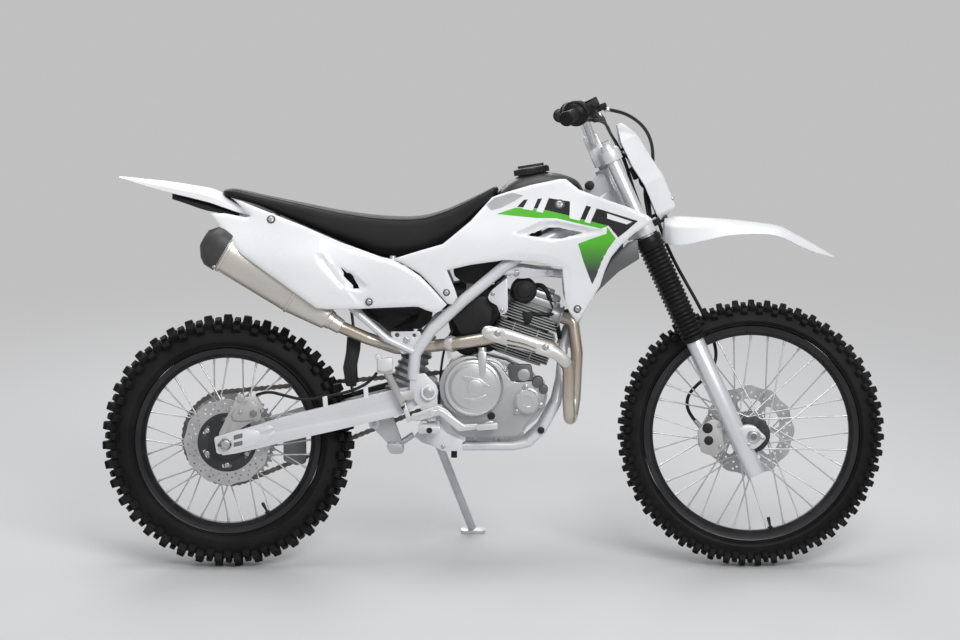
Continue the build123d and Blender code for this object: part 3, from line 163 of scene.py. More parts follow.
# each lamp: its name, place, size and watts
for name, place, size, watts in (("key", (1.8, -4.2, 4.2), (3.0, 2.0), 190),
                                 ("overhead", (-0.6, 0.4, 5.0), (4.2, 2.6), 120),
                                 ("left_fill", (-1.0, 4.6, 2.6), (3.4, 2.2), 80)):
    lamp = bpy.data.objects.new(name, bpy.data.lights.new(name, "AREA"))
    bpy.context.collection.objects.link(lamp)
    lamp.data.shape = "RECTANGLE"
    lamp.data.size, lamp.data.size_y = size
    lamp.data.energy = watts
    lamp.location = place
    lamp.rotation_euler = (Vector((0, 0, 0.5)) - lamp.location).to_track_quat("-Z", "Y").to_euler()

# ==== Tyres ====
# Knobbly off-road tyres: a rubber carcass from bead to bead, moulded in one with stiff tapered knobs.
# The knobs stand in rows: blocks in the middle, pairs beside them, and leaning ones on each shoulder.


def only(piece):
    """Select one object alone and make it the active one."""
    deselect()
    piece.select_set(True)
    bpy.context.view_layer.objects.active = piece


def edit(piece=None, kind="VERT", action="SELECT"):
    """Go into edit mode, with all of a piece selected or none of it."""
    if piece:
        only(piece)
    bpy.ops.object.mode_set(mode="EDIT")
    bpy.ops.mesh.select_mode(type=kind)
    bpy.ops.mesh.select_all(action=action)


def close_up(merge=0.0):
    """Merge what meets, turn the faces outwards and leave edit mode."""
    bpy.ops.mesh.select_all(action="SELECT")
    if merge:
        bpy.ops.mesh.remove_doubles(threshold=merge)
    bpy.ops.mesh.normals_make_consistent(inside=False)
    bpy.ops.object.mode_set(mode="OBJECT")
    return bpy.context.object


def trace(points):
    """Draw a closed line through points, and stay in edit mode with all of it selected."""
    deselect()
    bpy.ops.mesh.primitive_plane_add(size=0.001, location=points[0])
    edit()
    bpy.ops.mesh.merge(type="CENTER")
    for here, there in zip(points, points[1:] + points[:1]):
        bpy.ops.mesh.extrude_region_move(TRANSFORM_OT_translate={"value": there - here})
    bpy.ops.mesh.select_all(action="SELECT")


def draw_and_spin(profile, axle, steps):
    """Draw a section as (distance out from the axle, distance to the left) and spin it round the axle."""
    trace([Vector((axle.x + out, left, axle.z)) for out, left in profile])
    bpy.ops.mesh.spin(steps=steps, angle=2 * math.pi, center=axle, axis=(0, 1, 0))
    return close_up(0.00002)


def applied(piece, kind, **settings):
    """Give a piece one modifier and apply it."""
    only(piece)
    modifier = piece.modifiers.new("shape", kind)
    for key, value in settings.items():
        setattr(modifier, key, value)
    bpy.ops.object.modifier_apply(modifier=modifier.name)
    return piece


def soften(piece, width, corner=35, segments=2):
    """Round the sharp edges of a piece as a mould, a casting or a file would, and smooth what is round."""
    if width > 0:
        applied(piece, "BEVEL", width=width, segments=segments, limit_method="ANGLE", angle_limit=math.radians(corner))
    only(piece)
    bpy.ops.object.shade_smooth_by_angle(angle=math.radians(corner))
    return piece


def softened(pieces, *sizes, **named):
    """The same rounding for several pieces."""
    return [soften(piece, *sizes, **named) for piece in pieces]


def smooth(piece):
    """Shade every face smoothly."""
    piece.data.polygons.foreach_set("use_smooth", [True] * len(piece.data.polygons))
    return piece


def gather(pieces):
    """Join pieces that are one part."""
    deselect()
    for piece in pieces:
        piece.select_set(True)
    bpy.context.view_layer.objects.active = pieces[0]
    if len(pieces) > 1:
        bpy.ops.object.join()
    return pieces[0]


def copies(piece, places):
    """Set a copy of one piece at each place, take the pattern away, and join them."""
    made = []
    for place in places:
        copy = bpy.data.objects.new(piece.name, piece.data.copy())
        copy.data.transform(place @ piece.matrix_world)
        bpy.context.collection.objects.link(copy)
        made.append(copy)
    bpy.data.objects.remove(piece)
    return gather(made)


def fix(piece, name, body, slot, material, *nodes):
    """Give a finished piece its name and finish, and fix it to its body."""
    piece.name = name
    piece.data.materials.clear()
    piece.data.materials.append(material)
    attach(piece, body)
    if nodes:
        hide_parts(*nodes)
    return piece


def hang(piece, *labels):
    """Lean a finished piece, or one gathered from a list, onto the stand with the bike, and fix it there."""
    piece = gather(piece) if isinstance(piece, list) else piece
    only(piece)
    bpy.ops.object.transform_apply(location=True, rotation=True, scale=True)
    piece.data.transform(parked)
    return fix(piece, *labels)


def surface(name, colour, worn, rough, metal=0.0, patch=5.0, grain=700.0, depth=0.0002, swing=0.12, bump=0.3,
            shine=0.5):
    """A real surface: colour that drifts between two shades, uneven gloss, and a fine grain in relief."""
    material = bpy.data.materials.new(name)
    nodes, wire, add = shading(material)
    shader = nodes["Principled BSDF"]
    shader.inputs["Metallic"].default_value = metal
    shader.inputs["Specular IOR Level"].default_value = shine
    place = add("TexCoord")
    drift = add("TexNoise", {"Scale": patch, "Detail": 6})
    shade = add("ValToRGB")
    for element, position, shown in zip(shade.color_ramp.elements, (0.38, 0.72), (colour, worn)):
        element.position, element.color = position, (*shown, 1)
    gloss = add("MapRange", {"To Min": max(0.02, rough - swing), "To Max": min(1.0, rough + swing)})
    smear = add("TexNoise", {"Scale": patch * 4, "Detail": 8})
    fine = add("TexNoise", {"Scale": grain, "Detail": 3})
    relief = add("Bump", {"Strength": bump, "Distance": depth})
    for texture in (drift, smear, fine):
        wire(place.outputs["Object"], texture.inputs["Vector"])
    wire(drift.outputs["Fac"], shade.inputs["Fac"])
    wire(shade.outputs["Color"], shader.inputs["Base Color"])
    wire(smear.outputs["Fac"], gloss.inputs["Value"])
    wire(gloss.outputs["Result"], shader.inputs["Roughness"])
    wire(fine.outputs["Fac"], relief.inputs["Height"])
    wire(relief.outputs["Normal"], shader.inputs["Normal"])
    return material


tyre_rubber = surface("tyre_rubber", (0.0060, 0.0060, 0.0065), (0.0150, 0.0147, 0.0143), 0.60, patch=9, grain=900,
                      depth=0.0003, shine=0.18)
front_centre = Vector((wheelbase / 2, 0, front_tyre_radius))
rear_centre = Vector((-wheelbase / 2, 0, rear_tyre_radius))


def pick(piece, wanted):
    """Go into edit mode with only the faces selected whose centre and normal are wanted."""
    edit(piece, "FACE", "DESELECT")
    bpy.ops.object.mode_set(mode="OBJECT")
    for face in piece.data.polygons:
        face.select = wanted(face.center, face.normal)
    bpy.ops.object.mode_set(mode="EDIT")


def draw_in_top(piece, across_x, across_y):
    """Draw the top face in to a share of its size each way."""
    pick(piece, lambda centre, normal: normal.z > 0.9)
    bpy.ops.transform.resize(value=(across_x, across_y, 1))
    bpy.ops.object.mode_set(mode="OBJECT")
    return piece


def knob(length, width, height):
    """One knob: a block drawn in towards its tip, rooted 4 mm deep in the carcass."""
    root = 0.004
    deselect()
    bpy.ops.mesh.primitive_cube_add(size=1, location=(0, 0, -height / 2 + 0.0002), scale=(length, width, height + root))
    bpy.ops.object.transform_apply(location=True, scale=True)
    return soften(draw_in_top(bpy.context.object, 0.8, 0.84), 0.0012, segments=1)


def mirrored_half(half, shared_start=0, shared_end=0):
    """A whole section from its left half, without doubling the points that lie on the middle."""
    return half + [(out, -left) for out, left in reversed(half)][shared_end:len(half) - shared_start]


def tyre(name, body, axle, radius, width, crown, bead, rim_width, knob_height, rows, pitch_count, node):
    """A carcass spun from its section, with its rows of knobs set round it."""
    crown_centre = radius - crown
    carcass = crown - knob_height
    wall_top = crown_centre - 0.004
    lip = bead + 0.0185
    steps = 9
    half_turn = math.asin(min(1, (width / 2 - 0.006) / (crown - 0.004))) * 1.02
    arc = [(crown_centre + carcass * math.cos(half_turn * k / steps), carcass * math.sin(half_turn * k / steps))
           for k in range(steps + 1)]
    half = [
        *arc,
        (wall_top, width / 2 - 0.007),
        (wall_top + (lip - wall_top) * 0.4, width / 2 - 0.008),
        (wall_top + (lip - wall_top) * 0.8, rim_width / 2 + 0.007),
        (lip, rim_width / 2 + 0.0035),
        (bead + 0.0165, rim_width / 2 + 0.0045),
        (bead + 0.0145, rim_width / 2 + 0.0025),
        (bead + 0.0130, rim_width / 2 - 0.003),
        (bead + 0.0130, rim_width / 2 - 0.014),
        (crown_centre, width / 2 - 0.017),
    ]
    parts = [smooth(soften(draw_and_spin(mirrored_half(half, 1), axle, 180), 0))]
    for length, breadth, tip_out, tip_turn, offset, sides in rows:
        places = []
        for pitch in range(pitch_count):
            turn = (pitch + offset) * 2 * math.pi / pitch_count
            for side in sides:
                tip = math.radians(tip_turn) * side
                reach = crown + tip_out
                places.append(moved(*axle) @ Matrix.Rotation(turn, 4, "Y")
                              @ moved(0, reach * math.sin(tip), crown_centre + reach * math.cos(tip))
                              @ Matrix.Rotation(-tip, 4, "X"))
        parts.append(copies(knob(length, breadth, knob_height), places))
    return hang(parts, name, body, "tyre", tyre_rubber, node)


# each row: knob length round the tyre, knob width, how far its tip stands out, its turn off the middle in
# degrees, its offset in pitches, and the sides it stands on
middle, pair = (1,), (-1, 1)
tyre("rear_tyre_tread", "rear_wheel", rear_centre, rear_tyre_radius, 0.104, 0.058, 0.229, 0.060, 0.018, [
    (0.0240, 0.032, -0.0022, 0, 0.0, middle),
    (0.0180, 0.021, -0.0080, 24, 0.5, pair),
    (0.0240, 0.017, -0.0016, 43, 0.03, pair),
    (0.0220, 0.015, -0.0015, 61, 0.52, pair),
], 39, "rear_tyre")
tyre("front_tyre_tread", "front_wheel", front_centre, front_tyre_radius, 0.084, 0.048, 0.268, 0.046, 0.015, [
    (0.0180, 0.024, -0.0020, 0, 0.0, middle),
    (0.0145, 0.016, -0.0068, 25, 0.5, pair),
    (0.0190, 0.013, -0.0014, 44, 0.03, pair),
    (0.0170, 0.012, -0.0012, 60, 0.52, pair),
], 51, "front_tyre")

# ==== Rims, nipples and valves ====
# Black anodised aluminium hoops, rolled and welded, drilled for 36 spokes that thread into steel nipples.
# Each has a valve stem with its nut and cap, low down on the wheel.
anodised_black = surface("anodised_black", (0.022, 0.022, 0.024), (0.035, 0.035, 0.037), 0.34, metal=0.55, patch=7,
                         grain=1500, depth=0.00005)
spoke_steel = surface("spoke_steel", (0.66, 0.66, 0.67), (0.56, 0.56, 0.56), 0.42, metal=0.9, patch=14, grain=1200,
                      depth=0.00003)
rear_rim_inner, front_rim_inner = 0.215, 0.255
flange_radius = 0.0382


def rim(name, body, axle, inner, bead, rim_width, node):
    """A hoop with a raised middle, two bead seats and rolled flanges."""
    half_width = rim_width / 2
    half = [
        (inner, 0.0),
        (inner, half_width * 0.34),
        (inner + 0.0015, half_width * 0.46),
        (bead - 0.0055, half_width - 0.006),
        (bead - 0.002, half_width - 0.0005),
        (bead + 0.0100, half_width),
        (bead + 0.0118, half_width + 0.0008),
        (bead + 0.0122, half_width - 0.001),
        (bead + 0.0110, half_width - 0.003),
        (bead + 0.001, half_width - 0.0042),
        (bead - 0.0005, half_width - 0.012),
        (inner + 0.0045, half_width * 0.3),
        (inner + 0.0040, 0.0),
    ]
    hoop = draw_and_spin(mirrored_half(half, 1, 1), axle, 180)
    return hang(soften(hoop, 0, corner=32), name, body, "dark_metal", anodised_black, node)


rim("rear_rim_hoop", "rear_wheel", rear_centre, rear_rim_inner, 0.229, 0.060, "rear_rim")
rim("front_rim_hoop", "front_wheel", front_centre, front_rim_inner, 0.268, 0.046, "front_rim")


def round_part(radius, length, vertices=24, top=1.0):
    """A turned part along z from zero up to its length, drawn in to a share of its radius at the top."""
    deselect()
    bpy.ops.mesh.primitive_cylinder_add(vertices=vertices, radius=radius, depth=length, location=(0, 0, length / 2))
    bpy.ops.object.transform_apply(location=True)
    return bpy.context.object if top == 1.0 else draw_in_top(bpy.context.object, top, top)


def placed(piece, place):
    """Move a piece's shape to its place."""
    piece.data.transform(place)
    return piece


def aimed(way):
    """The turn that points the upright along a direction."""
    return Vector(way).to_track_quat("Z", "Y").to_matrix().to_4x4()


def nipples(name, body, axle, inner):
    """Thirty-six nipples that lean the way their spokes do."""
    places = []
    for kind, (side, sweep) in enumerate(((1, 1), (-1, 1), (1, -1), (-1, -1))):
        for number in range(9):
            turn = math.radians(kind * 10 + number * 40)
            start_turn = turn + math.radians(sweep * 74)
            tip = Vector((math.cos(turn) * inner, side * 0.005, -math.sin(turn) * inner))
            root = Vector((math.cos(start_turn) * flange_radius, side * (0.038 + sweep * 0.0046),
                           -math.sin(start_turn) * flange_radius))
            places.append(moved(*(axle + tip)) @ aimed(root - tip) @ moved(0, 0, -0.003))
    collar = soften(round_part(0.0034, 0.017, 10, 0.8), 0, 40)
    return hang(copies(collar, places), name, body, "chrome", spoke_steel)


nipples("rear_nipples", "rear_wheel", rear_centre, rear_rim_inner)
nipples("front_nipples", "front_wheel", front_centre, front_rim_inner)
for node in ("front_spokes", "rear_spokes"):
    frame["nodes"][node].data.materials.clear()
    frame["nodes"][node].data.materials.append(spoke_steel)


def valve(name, body, axle, inner, degrees):
    """A rubber stem with a steel nut and a plastic cap, pointing at the hub."""
    stem, nut = round_part(0.0036, 0.025, 16), round_part(0.0075, 0.004, 6)
    cap = placed(round_part(0.0048, 0.012, 12, 0.9), moved(0, 0, 0.017))
    parts = gather(softened((stem, nut, cap), 0.0005, segments=1))
    placed(parts, moved(*axle) @ rotated(degrees, "Y") @ moved(0, 0, inner) @ rotated(180, "X"))
    return hang(parts, name, body, "rubber", anodised_black)


valve("rear_valve", "rear_wheel", rear_centre, rear_rim_inner, 152)
valve("front_valve", "front_wheel", front_centre, front_rim_inner, 168)

# ==== Hubs ====
# Cast hubs, black on both wheels: a waisted barrel between two flanges drilled for the spokes' heads.
# The front one carries its disc on the left; the rear one carries its disc on the right, its sprocket on the left.
hub_black = surface("hub_black", (0.030, 0.031, 0.033), (0.052, 0.052, 0.054), 0.42, metal=0.3, patch=16, grain=1100,
                    depth=0.0001)
spoke_flange = 0.038


def hub(name, body, axle, bore, left_face, left_radius, right_face, right_radius, node):
    """A hub spun from its section, with bolt-on faces at both ends."""
    section = [
        (bore, left_face), (left_radius, left_face), (left_radius, left_face - 0.006),
        (0.031, left_face - 0.008), (0.032, spoke_flange + 0.009), (0.036, spoke_flange + 0.007),
        (0.036, spoke_flange - 0.005), (0.027, spoke_flange - 0.010), (0.022, 0.014), (0.0215, 0.0),
        (0.022, -0.014), (0.027, -spoke_flange + 0.010), (0.036, -spoke_flange + 0.005),
        (0.036, -spoke_flange - 0.007), (0.032, -spoke_flange - 0.009), (0.031, right_face + 0.008),
        (right_radius, right_face + 0.006), (right_radius, right_face), (bore, right_face),
    ]
    return hang(soften(draw_and_spin(section, axle, 72), 0.0008, 40), name, body, "dark_metal", hub_black, node)


hub("front_hub_shell", "front_wheel", front_centre, 0.0081, 0.0597, 0.036, -0.060, 0.024, "front_hub")
hub("rear_hub_shell", "rear_wheel", rear_centre, 0.0091, 0.0632, 0.036, -0.0597, 0.036, "rear_hub")

# ==== Brake discs ====
# Wavy stainless discs with cross-drilled rings, 4 mm thick, each on a carrier held by six button-head bolts.
# The rear carrier is a black slotted plate; the front disc runs inwards on six arms to its hub.
disc_steel = surface("disc_steel", (0.54, 0.54, 0.545), (0.42, 0.42, 0.43), 0.36, metal=0.8, patch=24, grain=1800,
                     depth=0.00005)
bolt_steel = surface("bolt_steel", (0.60, 0.60, 0.60), (0.44, 0.44, 0.44), 0.3, metal=0.95, patch=40, grain=1500,
                     depth=0.00004)


def mm(*points):
    """Points given in millimetres."""
    return [tuple(value / 1000 for value in point) for point in points]


def trace_face(outline, start=0.0):
    """Draw and fill a side view given as (x, z), and stay in edit mode."""
    trace([Vector((x, start, z)) for x, z in outline])
    bpy.ops.mesh.remove_doubles(threshold=0.00002)
    bpy.ops.mesh.edge_face_add()


def plate(outline, start, end):
    """Draw a side view as (x, z) and give it thickness across the bike, from y = start to y = end."""
    trace_face(outline, start)
    bpy.ops.mesh.extrude_region_move(TRANSFORM_OT_translate={"value": (0, end - start, 0)})
    piece = close_up()
    bpy.ops.object.transform_apply(location=True)
    return piece


def rounded(outline, radius, steps=3):
    """Round every corner of a closed outline, by no more than its shorter side allows."""
    points = []
    for before, corner, after in zip(outline[-1:] + outline[:-1], outline, outline[1:] + outline[:1]):
        here = Vector(corner)
        back, ahead = Vector(before) - here, Vector(after) - here
        reach = min(radius, 0.45 * back.length, 0.45 * ahead.length)
        start, end = here + back.normalized() * reach, here + ahead.normalized() * reach
        for step in range(steps + 1):
            share = step / steps
            point = start.lerp(here, share).lerp(here.lerp(end, share), share)
            points.append((point.x, point.y))
    return points


def moulding(radius, start, end, *outline, steps=3):
    """A plate with rounded corners, its outline in millimetres."""
    return plate(rounded(mm(*outline), radius, steps), start, end)


def across(radius, start, end, centre, vertices=24, top=1.0):
    """A round part lying across the bike, from y = start to y = end, drawn in to a share of its radius at the end."""
    part = round_part(radius, abs(end - start), vertices, top)
    return placed(part, moved(centre[0], start, centre[1]) @ rotated(-90 if end > start else 90, "X"))


def cut(piece, *tools):
    """Take the tools' shapes out of a piece."""
    tool = gather(list(tools))
    applied(piece, "BOOLEAN", operation="DIFFERENCE", solver="EXACT", object=tool)
    bpy.data.objects.remove(tool)
    return piece


def bolts(places, y, head, height):
    """Button-head bolts with a six-sided socket, standing out of a face on the right (y below 0) or the left."""
    made = []
    outwards = height if y > 0 else -height
    for place in places:
        dome = across(head, y, y + outwards, place, 20, 0.72)
        soften(dome, height * 0.3, 30)
        made.append(cut(dome, across(head * 0.42, y + outwards * 1.5, y + outwards * 0.35, place, 6)))
    return made


def wheel_ring(axle, radius, count, start_turn=0.0):
    """Evenly spaced places round an axle, as (x, z)."""
    turns = [math.radians(start_turn) + 2 * math.pi * k / count for k in range(count)]
    return [(axle.x + radius * math.cos(turn), axle.z + radius * math.sin(turn)) for turn in turns]


def brake_disc(axle, radius, wave, start, end, bore):
    """A disc with a wavy edge of twelve lobes."""
    outline = []
    for k in range(240):
        turn = 2 * math.pi * k / 240
        reach = radius - wave + wave * math.cos(12 * turn)
        outline.append((axle.x + reach * math.cos(turn), axle.z + reach * math.sin(turn)))
    return cut(plate(outline, start, end), across(bore, start - 0.002, end + 0.002, (axle.x, axle.z), 96))


def drilled(disc, axle, start, end, size, *rings):
    """Drill rings of holes, each given by its radius, count and first turn."""
    return cut(disc, *[across(size, start - 0.002, end + 0.002, place, 10)
                       for ring in rings for place in wheel_ring(axle, *ring)])


def washer(radius, bore, start, end, axle, vertices, top, bore_start, bore_end, bore_sides=48):
    """A round plate with a hole in it, on an axle."""
    centre = (axle.x, axle.z)
    return cut(across(radius, start, end, centre, vertices, top),
               across(bore, bore_start, bore_end, centre, bore_sides))


def round_axle(make, axle, first_turn=0, out=0.0):
    """Six of the same shape, 60 degrees apart round an axle and some way out from it."""
    return [placed(make(), moved(axle.x, 0, axle.z) @ rotated(60 * k + first_turn, "Y") @ moved(0, 0, out))
            for k in range(6)]


rear_disc = brake_disc(rear_centre, 0.1125, 0.0018, -0.064, -0.060, 0.071)
drilled(rear_disc, rear_centre, -0.064, -0.060, 0.0026, (0.084, 24, 0), (0.0925, 24, 7.5), (0.101, 24, 3))
hang(soften(rear_disc, 0.0003, 40, 1), "rear_disc_ring", "rear_wheel", "steel", disc_steel, "rear_brake_disc")
carrier = plate(wheel_ring(rear_centre, 0.0765, 96), -0.0652, -0.0612)
slots = round_axle(lambda: moulding(0.003, -0.067, -0.059, (-13, -4.5), (13, -4.5), (12, 4.5), (-12, 4.5)),
                   rear_centre, 60, 0.062)
cut(carrier, *slots, across(0.030, -0.067, -0.059, (rear_centre.x, rear_centre.z), 48))
inner_ring = washer(0.048, 0.0242, -0.0652, -0.0672, rear_centre, 64, 0.96, -0.069, -0.063)
hang([soften(carrier, 0.0006, 40), soften(inner_ring, 0.0004, 40)], "rear_disc_carrier", "rear_wheel", "dark_metal",
     hub_black)
hang(bolts(wheel_ring(rear_centre, 0.059, 6, -90), -0.0648, 0.0072, 0.0022), "rear_disc_bolts", "rear_wheel", "steel",
     bolt_steel)

front_disc = brake_disc(front_centre, 0.1195, 0.0026, 0.060, 0.064, 0.0242)
cut(front_disc, *round_axle(lambda: moulding(0.009, 0.058, 0.066, (-22, 48), (22, 48), (33, 74), (12, 84), (-12, 84),
                                             (-33, 74)), front_centre))
drilled(front_disc, front_centre, 0.060, 0.064, 0.0029, (0.0915, 24, 4), (0.1005, 24, 11.5), (0.1085, 12, 7.5))
hang(soften(front_disc, 0.0003, 40, 1), "front_disc_ring", "front_wheel", "steel", disc_steel, "front_brake_disc")
front_carrier = washer(0.051, 0.020, 0.0645, 0.0675, front_centre, 72, 0.95, 0.062, 0.070)
far_cap = washer(0.047, 0.0165, -0.0602, -0.0642, front_centre, 72, 0.94, -0.066, -0.058, 40)
rivets = [across(0.0032, -0.0640, -0.0656, place, 10, 0.8) for place in wheel_ring(front_centre, 0.039, 12)]
hang([soften(front_carrier, 0.0006, 40), soften(far_cap, 0.0008, 40), *rivets], "front_disc_carrier", "front_wheel",
     "dark_metal", hub_black)
hang(bolts(wheel_ring(front_centre, 0.043, 6, 30), 0.0674, 0.0065, 0.004), "front_disc_bolts", "front_wheel", "steel",
     bolt_steel)

# ==== Rear sprocket and chain ====
# A light alloy sprocket of 48 teeth, and a steel roller chain of inner and outer links on pins.
# The sprocket is bolted to the left face of the rear hub, and the chain runs in its plane to the engine.
sprocket_alloy = surface("sprocket_alloy", (0.50, 0.50, 0.51), (0.36, 0.36, 0.37), 0.36, metal=0.9, patch=18,
                         grain=1500, depth=0.00006)
chain_steel = surface("chain_steel", (0.20, 0.19, 0.18), (0.11, 0.105, 0.10), 0.38, metal=0.85, patch=60, grain=1300,
                      depth=0.00008)
pitch = 0.015875
teeth = 48
tooth_circle = pitch / 2 / math.sin(math.pi / teeth)
chain_left = 0.067
sprocket_face = chain_left + 0.0033
outline = []
for tooth in range(teeth):
    for share, reach in ((-0.36, -0.0045), (-0.17, 0.0012), (-0.08, 0.0044), (0.08, 0.0044), (0.17, 0.0012),
                         (0.36, -0.0045)):
        turn = 2 * math.pi * (tooth + share) / teeth
        outline.append((rear_centre.x + (tooth_circle + reach) * math.cos(turn),
                        rear_centre.z + (tooth_circle + reach) * math.sin(turn)))
sprocket = plate(outline, chain_left - 0.0033, sprocket_face)
# its holes: size, corners, circle they stand on, count and first turn
cut(sprocket, *[across(size, 0.058, 0.076, place, corners)
                for size, corners, circle, count, first in ((0.0245, 48, 0, 1, 0), (0.0175, 24, 0.083, 9, 10),
                                                            (0.0045, 14, 0.105, 18, 0))
                for place in wheel_ring(rear_centre, circle, count, first)])
hang(soften(sprocket, 0.0004, 40, 1), "rear_sprocket_plate", "rear_wheel", "bare_alloy", sprocket_alloy,
     "rear_sprocket")
hang(bolts(wheel_ring(rear_centre, 0.031, 6), sprocket_face, 0.0065, 0.004), "rear_sprocket_bolts", "rear_wheel",
     "steel", bolt_steel)

front_sprocket = Vector((-0.094, 0, 0.470))
small_circle = 0.032
run = Vector((front_sprocket.x - rear_centre.x, 0, front_sprocket.z - rear_centre.z))
heading = math.atan2(run.z, run.x)
open_turn = math.acos((tooth_circle - small_circle) / run.length)
straight = run.length * math.sin(open_turn)
small_wrap = 2 * open_turn * small_circle
loop = 2 * (math.pi - open_turn) * tooth_circle + small_wrap + 2 * straight
link_count = 2 * round(loop / pitch / 2)


def on_chain(distance):
    """The place on the chain's line at a distance along it: up and over the rear sprocket, then forwards."""
    def big(turn):
        return Vector((rear_centre.x + tooth_circle * math.cos(turn), chain_left,
                       rear_centre.z + tooth_circle * math.sin(turn)))

    def small(turn):
        return Vector((front_sprocket.x + small_circle * math.cos(turn), chain_left,
                       front_sprocket.z + small_circle * math.sin(turn)))
    distance %= loop
    top, low = heading + open_turn, heading - open_turn
    if distance < straight:
        return big(top).lerp(small(top), distance / straight)
    distance -= straight
    if distance < small_wrap:
        return small(top - distance / small_circle)
    distance -= small_wrap
    if distance < straight:
        return small(low).lerp(big(low), distance / straight)
    return big(low - (distance - straight) / tooth_circle)


def link(near, thickness, radius):
    """One link lying along x from its first pin: two waisted plates, joined by rollers or pins."""
    waist = []
    for centre, side in ((0, -1), (pitch, 1)):
        for degrees in (-70, -35, 0, 35, 70):
            turn = math.radians(degrees)
            waist.append((centre + side * 0.0069 * math.cos(turn), side * 0.0069 * math.sin(turn)))
        waist.append((pitch / 2, side * 0.0047))
    parts = [plate(waist, side * near, side * (near + thickness)) for side in (-1, 1)]
    reach = near + thickness * 1.4
    parts += [across(radius, -near - thickness * 1.4, reach, (place, 0), 10) for place in (0, pitch)]
    return soften(gather(parts), 0, 40)


places = []
for number in range(link_count):
    here, there = on_chain(number * loop / link_count), on_chain((number + 1) * loop / link_count)
    slope = math.atan2(there.z - here.z, there.x - here.x)
    places.append(moved(*here) @ Matrix.Rotation(-slope, 4, "Y"))
hang([copies(link(0.0036, 0.0015, 0.0048), places[::2]), copies(link(0.0053, 0.0014, 0.0028), places[1::2])],
     "chain_links", "frame", "steel", chain_steel, "drive_chain")

# ==== Seat ====
# A one-piece foam seat under black grained vinyl, long and dished, kicked up at the front over the tank.
# The cover is pulled tight over the foam, with a welted seam down each side and two seams across the top.
vinyl_black = surface("vinyl_black", (0.0070, 0.0070, 0.0075), (0.0125, 0.0125, 0.013), 0.54, patch=9, grain=2600,
                      depth=0.00035, swing=0.09, bump=0.5, shine=0.16)


def through(levels, at):
    """A smooth curve through (place, value) levels, at one place."""
    if at <= levels[0][0]:
        return levels[0][1]
    if at >= levels[-1][0]:
        return levels[-1][1]
    number = max(k for k in range(len(levels) - 1) if levels[k][0] <= at)
    (x0, y0), (x1, y1) = levels[number], levels[number + 1]
    before = levels[number - 1] if number > 0 else (x0 - (x1 - x0), y0 - (y1 - y0))
    after = levels[number + 2] if number + 2 < len(levels) else (x1 + (x1 - x0), y1 + (y1 - y0))
    slope0 = (y1 - before[1]) / (x1 - before[0])
    slope1 = (after[1] - y0) / (after[0] - x0)
    share, span = (at - x0) / (x1 - x0), x1 - x0
    return ((2 * share ** 3 - 3 * share ** 2 + 1) * y0 + (share ** 3 - 2 * share ** 2 + share) * span * slope0
            + (3 * share ** 2 - 2 * share ** 3) * y1 + (share ** 3 - share ** 2) * span * slope1)


def columns(stations, at):
    """The smooth value of each column of a table at one place along its first column."""
    return [through([(station[0], station[k]) for station in stations], at) for k in range(1, len(stations[0]))]


def shaped_grid(along, around, place):
    """A grid of faces, each corner set where place(share along, share around) says; its seam is closed."""
    deselect()
    bpy.ops.mesh.primitive_grid_add(x_subdivisions=along, y_subdivisions=around, size=2)
    piece = bpy.context.object
    for corner in piece.data.vertices:
        corner.co = place((corner.co.x + 1) / 2, (corner.co.y + 1) / 2)
    edit()
    return close_up(0.00005)


def squared(share, squareness):
    """A cosine or sine pushed out towards a square, its sign kept."""
    return math.copysign(abs(share) ** (2 / squareness), share)


def closed_body(stations, squareness, along, around, lean, end_round):
    """A solid skin through stations of (x, bottom, top, half width), its two ends rounded off."""
    start, end = stations[0][0], stations[-1][0]

    def place(u, w):
        x = start + (end - start) * u
        low, high, half = columns(stations, x)
        near_end = min(x - start, end - x) / end_round
        shrink = math.sqrt(max(0.0, 1 - (1 - min(1, near_end)) ** 2))
        turn = 2 * math.pi * w
        z = squared(math.sin(turn), squareness)
        y = half * squared(math.cos(turn), squareness) * shrink
        return (x, y * (1 - lean * (z + 1) / 2), (low + high) / 2 + (high - low) / 2 * z * shrink)
    return smooth(shaped_grid(along, around, place))


seat_stations = mm((-692, 968, 980, 50), (-664, 958, 983, 66), (-600, 941, 969.5, 84), (-489, 893, 947, 106),
                   (-380, 846, 925.5, 114), (-270, 806, 912.5, 112), (-180, 810, 912.5, 98), (-110, 846, 931, 84),
                   (-40, 906, 962, 70), (24, 968, 994, 52))
seat_squareness, seat_lean = 3.4, 0.16
seat = closed_body(seat_stations, seat_squareness, 150, 72, seat_lean, 0.016)


def on_seat(x, turn):
    """A point on the seat's skin, turned up from its right side."""
    low, high, half = columns(seat_stations, x)
    z = squared(math.sin(turn), seat_squareness)
    y = half * squared(math.cos(turn), seat_squareness)
    return Vector((x, -y * (1 - seat_lean * (z + 1) / 2), (low + high) / 2 + (high - low) / 2 * z))


def round_line(name, points, radius, steps=8):
    """A smooth round line that starts and ends at its first and last point."""
    curve = bpy.data.curves.new(name, "CURVE")
    curve.dimensions = "3D"
    curve.bevel_depth = radius
    curve.bevel_resolution = 4
    curve.resolution_u = steps
    curve.use_fill_caps = True
    line = curve.splines.new("NURBS")
    line.points.add(len(points) - 1)
    for point, place in zip(line.points, points):
        point.co = (*place, 1)
    line.order_u = 3
    line.use_endpoint_u = True
    run = bpy.data.objects.new(name, curve)
    bpy.context.collection.objects.link(run)
    return run


def tube_along(radius, *points):
    """A round cord, hose or rod that follows its points smoothly."""
    only(round_line("run", points, radius))
    bpy.ops.object.convert(target="MESH")
    return smooth(bpy.context.object)


